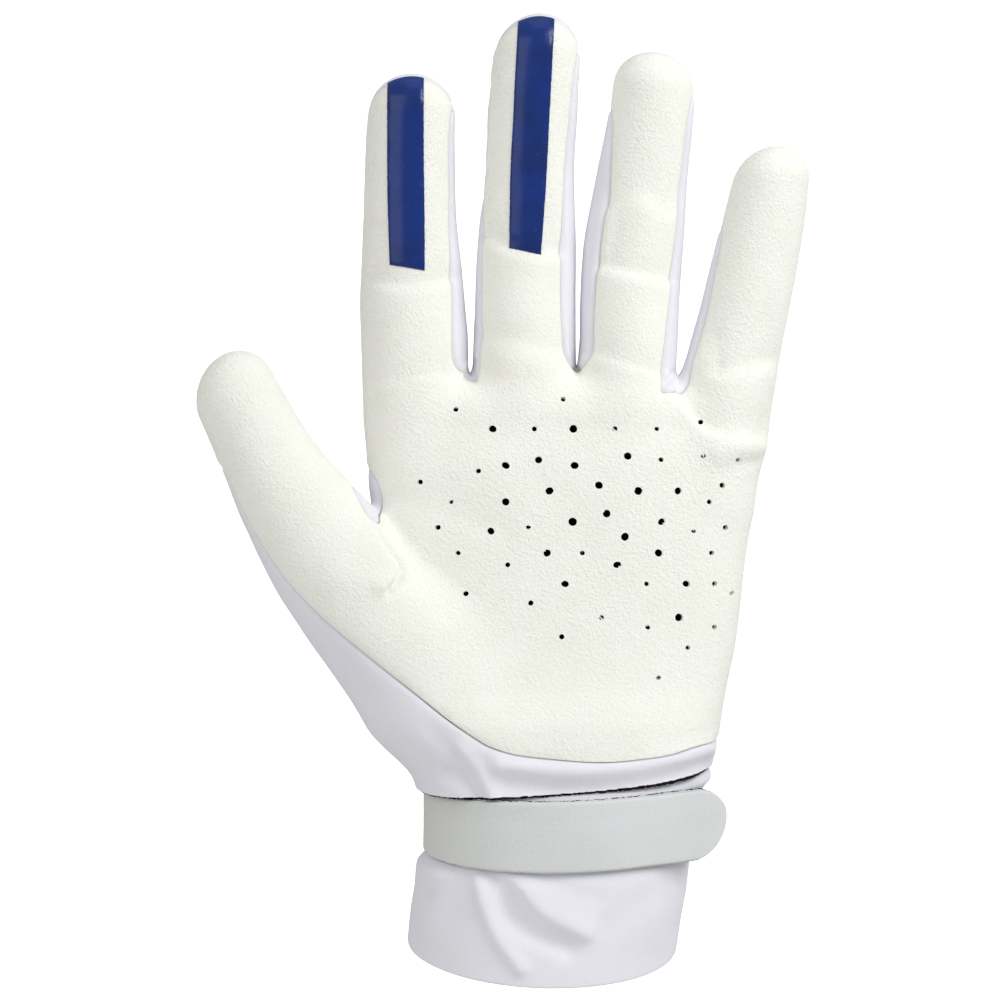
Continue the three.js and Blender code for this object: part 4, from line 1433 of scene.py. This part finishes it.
@dataclass
class HandSkin:
    """The palm panel, the back and the gussets, cut from one skin over the hand form."""

    suede: bpy.types.Material
    cloth: bpy.types.Material
    backing: bpy.types.Material
    step: float = 1.08
    crack_step: float = 0.5
    seam_gap: float = 0.1
    suede_roll: float = 0.16
    cloth_roll: float = 0.42
    roll_reach: float = 0.6
    lift_reach: float = 1.4
    lift: float = 0.2
    puff: float = 0.35
    uneven: float = 0.12
    form: HandForm = field(default_factory=HandForm)

    LOW = (-92.0, -33.0, 34.0)
    HIGH = (74.0, 27.0, 238.0)
    CRACKS = ((-21.0, -14.0), (6.0, 13.5), (30.0, 41.0))
    ANY_EDGE = 9.0
    SUEDE_EDGE = 0.55
    BODY_END_EDGE = 0.5
    GUSSET_EDGE = 0.6
    CROTCH_EDGE = 0.4
    FOLD_EDGE = 0.62
    VENT_EDGE = 0.34

    def __post_init__(self) -> None:
        """Makes the skin's mesh, fine along its seams."""
        self.seams = Seams(self.form)
        self.vents = Vents()
        self.relief = Relief(HAND_FOLDS, self.uneven, SEED)
        self.mesh = SkinMesh.around(self.form.value, self.axes())
        self.mesh.points = self.form.settle(self.mesh.points)
        self.mesh.relax(2, 0.5)
        self.mesh.points = self.form.settle(self.mesh.points, 2)
        for _ in range(2):
            self.mesh.refine(self.wanted)
        self.mesh.points = self.form.settle(self.mesh.points, 2)
        self.normals = self.form.normal(self.mesh.points)

    def axes(self) -> list[Array]:
        """Returns the grid's places, closer together between the fingers."""
        places = []
        x = self.LOW[0]
        while x < self.HIGH[0]:
            places.append(x)
            fine = any(low < x < high for low, high in self.CRACKS)
            x += self.crack_step if fine else self.step
        others = [np.arange(self.LOW[i], self.HIGH[i], self.step) for i in (1, 2)]
        return [np.array(places), *others]

    def wanted(self, points: Array) -> Array:
        """Returns the longest edge allowed at each point."""
        size = np.full(len(points), self.ANY_EDGE)
        size[np.abs(self.seams.suede(points)) < 0.65] = self.SUEDE_EDGE
        size[np.abs(self.seams.body(points)) < 0.5] = self.BODY_END_EDGE
        for crotch in CROTCHES:
            limit = self.seams.gusset(crotch)(points)
            size[(np.abs(limit) < 0.5) & (self.seams.suede(points) < 0.5)] = self.GUSSET_EDGE
            low = np.abs(points[:, 2] - crotch.low - 2) < 5
            size[(limit > -1) & low & (points[:, 1] < HAND_Y + 2)] = self.CROTCH_EDGE
        size[self.relief.sharp(points)] = self.FOLD_EDGE
        size[np.abs(self.vents.value(points)) < 0.4] = self.VENT_EDGE
        return size

    def cut(self, mesh: SkinMesh, value: Field, gap: float) -> SkinMesh:
        """Returns the part of a mesh where a field is over a gap's width."""
        normals = self.form.normal(mesh.points)
        away, slide = self.seams.over_skin(value, mesh.points, normals)
        size = np.maximum(np.abs(away), 1e-6)[:, None]
        shifted = slide * ((away - gap)[:, None] * np.sign(away)[:, None] / size)
        kept = mesh.kept(away - gap, shifted)
        kept.points = self.form.settle(kept.points, 1)
        return kept

    def seam_distance(self, points: Array, normals: Array, values: Iterable[Field]) -> Array:
        """Returns how far each point is from the nearest of several seams."""
        away = [np.abs(self.seams.over_skin(value, points, normals)[0]) for value in values]
        return np.min(away, axis=0)

    def dressed(
        self,
        name: str,
        mesh: SkinMesh,
        values: Sequence[Field],
        material: bpy.types.Material,
        lift: float,
        roll: float,
    ) -> bpy.types.Object:
        """Gives a cut part its folds, rolled seams and thickness.

        Args:
            name: The piece's name.
            mesh: The part of the smooth skin.
            values: The fields whose zero lines are its seams.
            material: Its outer material.
            lift: How far it stands out away from its seams.
            roll: How far its edge turns in at a seam.

        Returns:
            The piece.
        """
        mesh = mesh.without_crumbs()
        normals = self.form.normal(mesh.points)
        seam = np.clip(self.seam_distance(mesh.points, normals, values) - self.seam_gap, 0.0, FAR_FROM_SEAM)
        relief = self.relief.height(mesh.points, normals)
        rolled = lift * smooth_step(seam / self.lift_reach) - roll * np.exp(-((seam / self.roll_reach) ** 2))
        outer = mesh.points + normals * (relief + rolled)[:, None]
        inner = mesh.points + normals * (relief - WALL)[:, None]
        faces = mesh.shell()
        chosen = np.zeros(len(faces), int)
        chosen[len(mesh.faces) : 2 * len(mesh.faces)] = 1
        # The distance from the seams; the suede and cloth materials paint shade along the seams from it
        measures = {"seam": np.concatenate([seam, np.full(len(seam), FAR_FROM_SEAM)])}
        shell = np.concatenate([outer, inner])
        piece = make_object(name, shell, faces, [material, self.backing], chosen, measures)
        LOG.info("%s: %d faces", name, len(faces))
        return piece

    def build(self) -> None:
        """Cuts and dresses every part of the skin."""
        body = self.mesh.kept(self.seams.body(self.mesh.points))
        suede = self.cut(body, self.seams.suede, self.seam_gap)
        suede = suede.kept(self.vents.value(suede.points), near=0.04)
        self.palm_panel(suede)
        cloth = self.cut(body, lambda points: -self.seams.suede(points), self.seam_gap)
        fields = [self.seams.gusset(crotch) for crotch in CROTCHES]
        for crotch, value in zip(CROTCHES, fields):
            self.gusset(crotch, self.cut(cloth, value, self.seam_gap), value)
            cloth = self.cut(cloth, lambda points, value=value: -value(points), self.seam_gap)
        self.hand_back(cloth, fields)

    def palm_panel(self, mesh: SkinMesh) -> None:
        """Dresses the suede palm, with its vents."""
        values = [self.seams.suede]
        piece = self.dressed("palm_panel_suede", mesh, values, self.suede, self.lift, self.suede_roll)
        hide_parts("palm_panel")

    def gusset(self, crotch: Crotch, mesh: SkinMesh, value: Field) -> None:
        """Dresses one gusset as a softly rolled strip."""
        name = f"gusset_{crotch.near}_{crotch.far}"
        values = [self.seams.suede, value]
        piece = self.dressed(f"{name}_cloth", mesh, values, self.cloth, self.puff, self.cloth_roll)
        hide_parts(name)

    def hand_back(self, mesh: SkinMesh, fields: Sequence[Field]) -> None:
        """Dresses the cloth of the back, the thumb's outside and the wrist."""
        values = [self.seams.suede, *fields]
        piece = self.dressed("hand_back_cloth", mesh, values, self.cloth, 0.0, self.cloth_roll)
        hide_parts("hand_back")


@dataclass
class FingerGrip:
    """A glossy strip along the front of a finger, up to the seam at its tip."""

    finger: str
    skin: HandSkin
    rubber: bpy.types.Material
    proud: float = 0.42
    sunk: float = 0.25
    edge: float = 0.3
    tip_margin: float = 0.15

    def value(self, points: Array) -> Array:
        """Returns the distance inside the strip's outline."""
        rows = GRIPS[self.finger]
        at = column(rows, 0)
        x, z = points[:, 0], points[:, 2]
        left, right = (Profile(at, column(rows, i))(z) for i in (1, 2))
        end = rows[0][0] + GRIP_END_SLOPE[self.finger] * (x - rows[0][1])
        top = self.skin.seams.wrap(points) - self.tip_margin - points[:, 1]
        return np.min([x - left, right - x, z - end, top], axis=0)

    def build(self) -> None:
        """Cuts the strip from the skin and raises it."""
        skin = self.skin
        x = skin.mesh.points
        nearby = (self.value(x) > -3) & (skin.normals[:, 1] < 0.3)
        faces = skin.mesh.faces[nearby[skin.mesh.faces].all(axis=1)]
        used, renumbered = np.unique(faces, return_inverse=True)
        mesh = SkinMesh(x[used], renumbered.reshape(-1, 3))
        for _ in range(2):
            mesh.refine(lambda points: np.where(np.abs(self.value(points)) < 0.6, 0.3, 9.0))
        mesh.points = skin.form.settle(mesh.points, 2)
        mesh = mesh.kept(self.value(mesh.points), near=0.05).without_crumbs()
        normals = skin.form.normal(mesh.points)
        inside = np.maximum(self.value(mesh.points), 0.0)
        relief = skin.relief.height(mesh.points, normals) + skin.lift
        height = relief + self.proud * (1 - 0.55 * np.exp(-((inside / self.edge) ** 2)))
        outer = mesh.points + normals * height[:, None]
        inner = mesh.points + normals * (relief - self.sunk)[:, None]
        faces = mesh.shell()
        piece = make_object(
            f"grip_{self.finger}_rubber", np.concatenate([outer, inner]), faces, [self.rubber]
        )
        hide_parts(f"grip_{self.finger}")
        LOG.info("grip_%s: %d faces", self.finger, len(faces))


class CuffForm:
    """Points of the cuff by direction in degrees and level, in its sloping planes."""

    def __init__(self, span: tuple[float, float] = (CUFF[0][0], CUFF[-1][0])) -> None:
        """Fits the sections of the CUFF table.

        Args:
            span: The levels between which the section varies.
        """
        at = column(CUFF, 0)
        self.parts = [Profile(at, column(CUFF, i)) for i in range(1, 5)]
        self.span = span

    def point(self, degrees: Array, level: Array, out: Union[float, Array]) -> Array:
        """Returns points of the cuff.

        Args:
            degrees: Directions round it, 270 being the palm side.
            level: Levels up it.
            out: How far outside its surface.

        Returns:
            The points.
        """
        angle = np.radians(degrees)
        left, right, y, deep = (part(np.clip(level, *self.span)) for part in self.parts)
        px = (left + right) / 2 + ((right - left) / 2 + out) * np.cos(angle)
        py = y + HAND_Y + (deep + out) * np.sin(angle)
        t = np.clip(level / STRAP_LINE[0], 0.0, 1.0)
        along_x = HEM[1] + (STRAP_LINE[1] - HEM[1]) * t
        along_y = HEM[2] + (STRAP_LINE[2] - HEM[2]) * t
        return np.stack([px, py, level + HEM[0] * (1 - t) + along_x * px + along_y * py], axis=-1)


def pleat_height(degrees: Array, level: Array) -> Array:
    """Returns how far the pleats round the cuff stand out."""
    down = np.clip(1 - level / PLEAT_TOP, 0.0, 1.0)
    swell = np.sin(np.pi * np.minimum(1.0, 1.25 * down)) ** 0.7
    total = np.zeros(np.broadcast(degrees, level).shape)
    for at, lean, width, height in CUFF_PLEATS:
        away = (degrees - at - lean * down) / width
        total += height * swell * np.exp(-(away**2))
    return total


def lofted(rings: Array, closed_along: bool = False) -> list[tuple[int, int, int, int]]:
    """Returns the quads that join rings of equal counts.

    Args:
        rings: The rings' points, shaped rings by sides by 3.
        closed_along: Whether the last ring joins the first.

    Returns:
        The faces.
    """
    levels, sides = rings.shape[:2]
    faces = []
    for level in range(levels if closed_along else levels - 1):
        above = (level + 1) % levels
        for i in range(sides):
            j = (i + 1) % sides
            faces.append((level * sides + i, level * sides + j, above * sides + j, above * sides + i))
    return faces


@dataclass
class Cuff:
    """The cloth cuff, pleated below the strap, with a turned hem."""

    cloth: bpy.types.Material
    backing: bpy.types.Material
    sides: int = 300
    hem_width: float = 12.0
    hem_radius: float = 0.75
    outer_rings: int = 84
    inner_rings: int = 56
    uneven: float = 0.1
    free_below: float = 27.0
    free_over: float = 4.0
    form: CuffForm = field(default_factory=CuffForm)

    def build(self) -> None:
        """Lofts the cuff down its outside, round the hem and up its inside."""
        top = CUFF[-1][0]
        down = np.linspace(top, self.hem_radius, self.outer_rings)
        turn = np.radians(np.arange(15, 180, 15))
        radius = self.hem_radius
        path = [(level, 0.0) for level in down]
        path += [(radius - radius * math.sin(a), radius * (math.cos(a) - 1)) for a in turn]
        path += [(level, -2 * radius) for level in np.linspace(radius, top, self.inner_rings)]
        degrees = np.arange(self.sides) * 360 / self.sides
        angle = np.radians(degrees)
        normals = np.stack([np.cos(angle), np.sin(angle), 0 * degrees], 1)
        relief = Relief(CUFF_FOLDS, self.uneven, SEED + 1)
        rings = []
        for level, out in path:
            at = np.full(self.sides, level)
            smooth = self.form.point(degrees, at, 0.0)
            free = smooth_step((self.free_below - at) / self.free_over)
            folds = relief.height(smooth, normals) * free
            rings.append(self.form.point(degrees, at, out + pleat_height(degrees, at) + folds))
        rings = np.array(rings)[::-1]
        faces = lofted(rings, closed_along=True)
        levels = np.array([level for level, _ in path])[::-1]
        inside = np.array([out <= -2 * radius + 1e-6 for _, out in path])[::-1]
        black = np.repeat(inside & (levels > self.hem_width), self.sides)
        measures = {"seam": np.full(rings.shape[0] * self.sides, FAR_FROM_SEAM)}
        points, materials = rings.reshape(-1, 3), [self.cloth, self.backing]
        piece = make_object("cuff_cloth", points, faces, materials, black.astype(int), measures)
        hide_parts("cuff")
        LOG.info("cuff: %d faces", len(faces))


@dataclass
class WristStrap:
    """The leather strap round the wrist, with its black backing frayed at the edges."""

    leather: bpy.types.Material
    backing: bpy.types.Material
    start: float = 48.0
    leaves: float = 302.0
    half_height: float = 8.2
    thickness: float = 1.8
    backing_depth: float = 0.55
    round_off: float = 0.55
    tab_length: float = 24.2
    tab_turn: float = 0.006
    tab_rise: float = 0.08
    step: float = 0.45
    fray: float = 0.3
    overhang: float = 0.3
    samples: int = 600
    tab_sections: int = 63
    form: CuffForm = field(default_factory=lambda: CuffForm(STRAP_SEAT))

    def section(self) -> list[tuple[float, float, bool]]:
        """Returns the strap's section as shares of its half height, depth out and whether it frays."""
        deep, split = self.thickness, self.backing_depth
        corner = []
        for angle in (0, 30, 60, 90):
            a = math.radians(angle)
            inward = self.round_off * (1 - math.cos(a)) / self.half_height
            corner.append((inward, deep - self.round_off * (1 - math.sin(a))))
        points = [(-1.0, 0.0, True), (-1.0, split, True), (-1.0, split, False)]
        points += [(-1 + inward, out, False) for inward, out in corner]
        points += [(share, deep, False) for share in np.linspace(-0.86, 0.86, 13)]
        points += [(1 - inward, out, False) for inward, out in corner[::-1]]
        points += [(1.0, split, False), (1.0, split, True), (1.0, 0.0, True)]
        points += [(share, 0.0, False) for share in np.linspace(0.7, -0.7, 5)]
        return points

    def stations(self) -> tuple[Array, Array]:
        """Spaces the strap's sections evenly round the cuff, and closer towards its free end.

        Returns:
            The degrees where it lies on the cuff, and the lengths beyond it.
        """
        fine = np.linspace(self.start, self.leaves, self.samples)
        around = self.form.point(fine, np.full(len(fine), STRAP_LINE[0]), GAP)
        length = np.concatenate([[0], np.cumsum(np.linalg.norm(np.diff(around, axis=0), axis=1))])
        count = int(length[-1] / self.step)
        degrees = np.interp(np.linspace(0, length[-1], count), length, fine)
        beyond = self.tab_length * np.sin(np.linspace(0, np.pi / 2, self.tab_sections + 1)[1:])
        return degrees, beyond

    def build(self) -> None:
        """Lofts the strap through its stations."""
        shares, depths, frays = (np.array(part) for part in zip(*self.section()))
        degrees, beyond = self.stations()
        rng = np.random.default_rng(SEED + 2)
        levels = STRAP_LINE[0] + shares * self.half_height
        rings = [self.form.point(np.full(len(shares), at), levels, GAP + depths) for at in degrees]
        foot = np.mean([rings[-1].min(0), rings[-1].max(0)], axis=0)
        before = np.mean([rings[-2].min(0), rings[-2].max(0)], axis=0)
        heading = math.atan2(foot[1] - before[1], foot[0] - before[0])
        for along in beyond:
            turned = heading + self.tab_turn * along / 2
            swing = turned - heading
            c, s = math.cos(swing), math.sin(swing)
            reach = min(1.0, (self.tab_length - along) / self.half_height)
            height = max(0.03, math.sqrt(1 - (1 - reach) ** 2))
            narrowed = STRAP_LINE[0] + shares * self.half_height * height
            end = self.form.point(np.full(len(shares), self.leaves), narrowed, GAP + depths)
            spun = (end - foot) @ np.array([[c, s, 0], [-s, c, 0], [0, 0, 1]])
            shift = np.array([math.cos(turned), math.sin(turned), self.tab_rise]) * along
            rings.append(foot + shift + spun)
        shape = np.array(rings)
        jag = rng.uniform(0.1, 1.0, shape.shape[:2]) * self.fray * frays * np.sign(shares)
        jag -= self.overhang * frays * (shares < 0)
        shape[:, :, 2] += jag
        flipped = shape[:, ::-1]
        faces = lofted(flipped)
        count, sides = shape.shape[:2]
        faces.append(tuple(range(sides))[::-1])
        faces.append(tuple((count - 1) * sides + i for i in range(sides)))
        dark = np.array([frays[i] or depths[i] < 0.01 for i in range(sides)])[::-1]
        dark = dark & np.roll(dark, -1)
        chosen = np.concatenate([np.tile(dark, count - 1).astype(int), [0, 0]])
        measures = {"along": np.repeat(np.linspace(0, 1, count), sides)}
        points, materials = flipped.reshape(-1, 3), [self.leather, self.backing]
        piece = make_object("wrist_strap_leather", points, faces, materials, chosen, measures)
        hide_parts("wrist_strap")
        LOG.info("wrist_strap: %d faces", len(faces))


@dataclass
class RawEdge:
    """The black frayed edge where the body ends under the strap."""

    skin: HandSkin
    backing: bpy.types.Material
    count: int = 620
    depth_in: float = 0.5
    thickness: float = 0.55
    rise: float = 1.2
    tuck: float = 0.5
    drop: float = 0.46
    curl: float = 0.4
    flare: float = 0.35
    fray: float = 0.18

    CENTRE_X = 5.5
    NEAREST, FARTHEST = 5.0, 60.0
    HALVINGS = 24

    def build(self) -> None:
        """Follows the body's edge round the wrist as a thin ribbon."""
        form = self.skin.form
        angle = np.linspace(0, 2 * np.pi, self.count, endpoint=False)
        centre = np.array([self.CENTRE_X, HAND_Y, 0.0])
        low, high = np.full(self.count, self.NEAREST), np.full(self.count, self.FARTHEST)
        way = np.stack([np.cos(angle), np.sin(angle), 0 * angle], axis=1)

        def at(reach: Array) -> Array:
            """Returns the points of the body's edge plane at a reach from its centre."""
            flat = centre + way * reach[:, None]
            flat[:, 2] = BODY_EDGE[0] + BODY_EDGE[1] * flat[:, 0] + BODY_EDGE[2] * flat[:, 1]
            return flat

        for _ in range(self.HALVINGS):
            middle = (low + high) / 2
            outside = form.value(at(middle)) > 0
            high = np.where(outside, middle, high)
            low = np.where(outside, low, middle)
        edge = at(low)
        normals = form.normal(edge)
        edge = edge + normals * self.skin.relief.height(edge, normals)[:, None]
        rng = np.random.default_rng(SEED + 4)
        right = smooth_step((edge[:, 0] - 8) / 26) * smooth_step((-edge[:, 1] - 6) / 10)
        drop = self.drop + self.curl * right + self.fray * rng.uniform(-1, 1, self.count)
        up = np.array([0.0, 0.0, 1.0])
        outer = -self.depth_in + self.flare * right
        rings = np.stack(
            [
                edge - normals * (self.depth_in + self.tuck + self.thickness) + up * self.rise,
                edge + normals * (outer - self.thickness)[:, None] - up * (drop * 0.8)[:, None],
                edge + normals * (outer - self.thickness * 0.4)[:, None] - up * drop[:, None],
                edge + normals * outer[:, None] - up * (drop * 0.75)[:, None],
                edge - normals * (self.depth_in + self.tuck) + up * self.rise,
            ],
            axis=1,
        )
        faces = lofted(rings, closed_along=True)
        make_object("body_raw_edge", rings.reshape(-1, 3), faces, [self.backing])
        LOG.info("body_raw_edge: %d faces", len(faces))


class Lamp(NamedTuple):
    """A soft square light, in metres and watts."""

    name: str
    place: tuple[float, float, float]
    size: float
    power: float


@dataclass
class Studio:
    """A white seamless backdrop, soft lights and the camera."""

    LAMPS = (
        Lamp("key_light", (0.56, -0.46, 0.55), 0.45, 4.0),
        Lamp("fill_light", (-0.7, -0.8, 0.35), 0.9, 2.5),
        Lamp("top_light", (0.05, -0.2, 0.9), 0.5, 0.35),
    )
    WHITE = (1.0, 1.0, 1.0)
    BLACK = (0.0, 0.0, 0.0)
    PALE = (0.85, 0.85, 0.85)

    camera_distance: float = 1.2
    aim: tuple[float, float] = (-0.010, 0.11275)
    lens: float = 172.8
    lit_to: tuple[float, float, float] = (0.0, 0.0, 0.12)
    sky: float = 0.5
    floor: float = -0.35
    half_width: float = 6.0
    front: float = -6.0
    back: float = 3.0
    top: float = 4.0
    bend: float = 0.8

    def build(self) -> None:
        """Sets up everything round the glove."""
        self.camera()
        self.cyclorama()
        for lamp in self.LAMPS:
            self.light(lamp)
        world = bpy.data.worlds.new("studio")
        bpy.context.scene.world = world
        world.use_nodes = True
        background = world.node_tree.nodes["Background"]
        background.inputs["Color"].default_value = (*self.WHITE, 1.0)
        background.inputs["Strength"].default_value = self.sky
        bpy.context.scene.view_settings.view_transform = "Standard"

    def camera(self) -> None:
        """Places the camera in front of the palm."""
        camera = bpy.data.cameras.new("camera")
        camera.lens = self.lens
        camera.sensor_width = 36.0
        camera.clip_start = 0.05
        view = bpy.data.objects.new("camera", camera)
        view.location = (self.aim[0], -self.camera_distance, self.aim[1])
        view.rotation_euler = (math.pi / 2, 0.0, 0.0)
        bpy.context.scene.collection.objects.link(view)
        bpy.context.scene.camera = view

    def cyclorama(self) -> None:
        """Lays the floor and bends it up behind the glove."""
        start, radius = self.back - self.bend, self.bend
        turns = np.radians(np.arange(0, 91, 6))
        bend = [(start + radius * math.sin(a), radius - radius * math.cos(a)) for a in turns]
        line = [(self.front, 0.0), *bend, (self.back, self.top)]
        points = [(side * self.half_width, y, self.floor + z) for side in (-1, 1) for y, z in line]
        count = len(line)
        faces = [(i, i + 1, count + i + 1, count + i) for i in range(count - 1)]
        mesh = bpy.data.meshes.new("backdrop")
        mesh.from_pydata(points, [], [face[::-1] for face in faces])
        paint = Paint("backdrop_paper")
        across, away, up = (
            paint.node("ShaderNodeSeparateXYZ", inputs={0: paint.place()}, output=axis) for axis in "XYZ"
        )
        behind = away.ranged(2.25, 2.5) * across.ranged(-0.65, -0.52) * across.ranged(0.63, 0.5)
        glow = paint.mix(self.BLACK, self.WHITE, behind * up.ranged(0.85, 0.7))
        mesh.materials.append(
            paint.finish(
                Base_Color=self.PALE, Roughness=1.0, Emission_Color=glow, Emission_Strength=1.0
            )
        )
        paper = bpy.data.objects.new("backdrop", mesh)
        bpy.context.scene.collection.objects.link(paper)

    def light(self, lamp: Lamp) -> None:
        """Adds a light that faces the glove."""
        light = bpy.data.lights.new(lamp.name, "AREA")
        light.size = lamp.size
        light.energy = lamp.power
        stand = bpy.data.objects.new(lamp.name, light)
        stand.location = lamp.place
        toward = Vector(self.lit_to) - Vector(lamp.place)
        stand.rotation_euler = toward.to_track_quat("-Z", "Y").to_euler()
        bpy.context.scene.collection.objects.link(stand)


def main() -> None:
    """Builds the glove's pieces in order, then the studio."""
    logging.basicConfig(level=logging.INFO, format="%(name)s %(message)s")
    suede, cloth = Suede().material(), StretchCloth().material()
    backing = BlackBacking().material()
    rubber, leather = GripRubber().material(), StrapLeather().material()
    skin = HandSkin(suede, cloth, backing)
    LOG.info("skin: %d triangles", len(skin.mesh.faces))
    skin.build()
    for finger in GRIPS:
        FingerGrip(finger, skin, rubber).build()
    Cuff(cloth, backing).build()
    WristStrap(leather, backing).build()
    RawEdge(skin, backing).build()
    Studio().build()


if __name__ == "__main__":
    main()
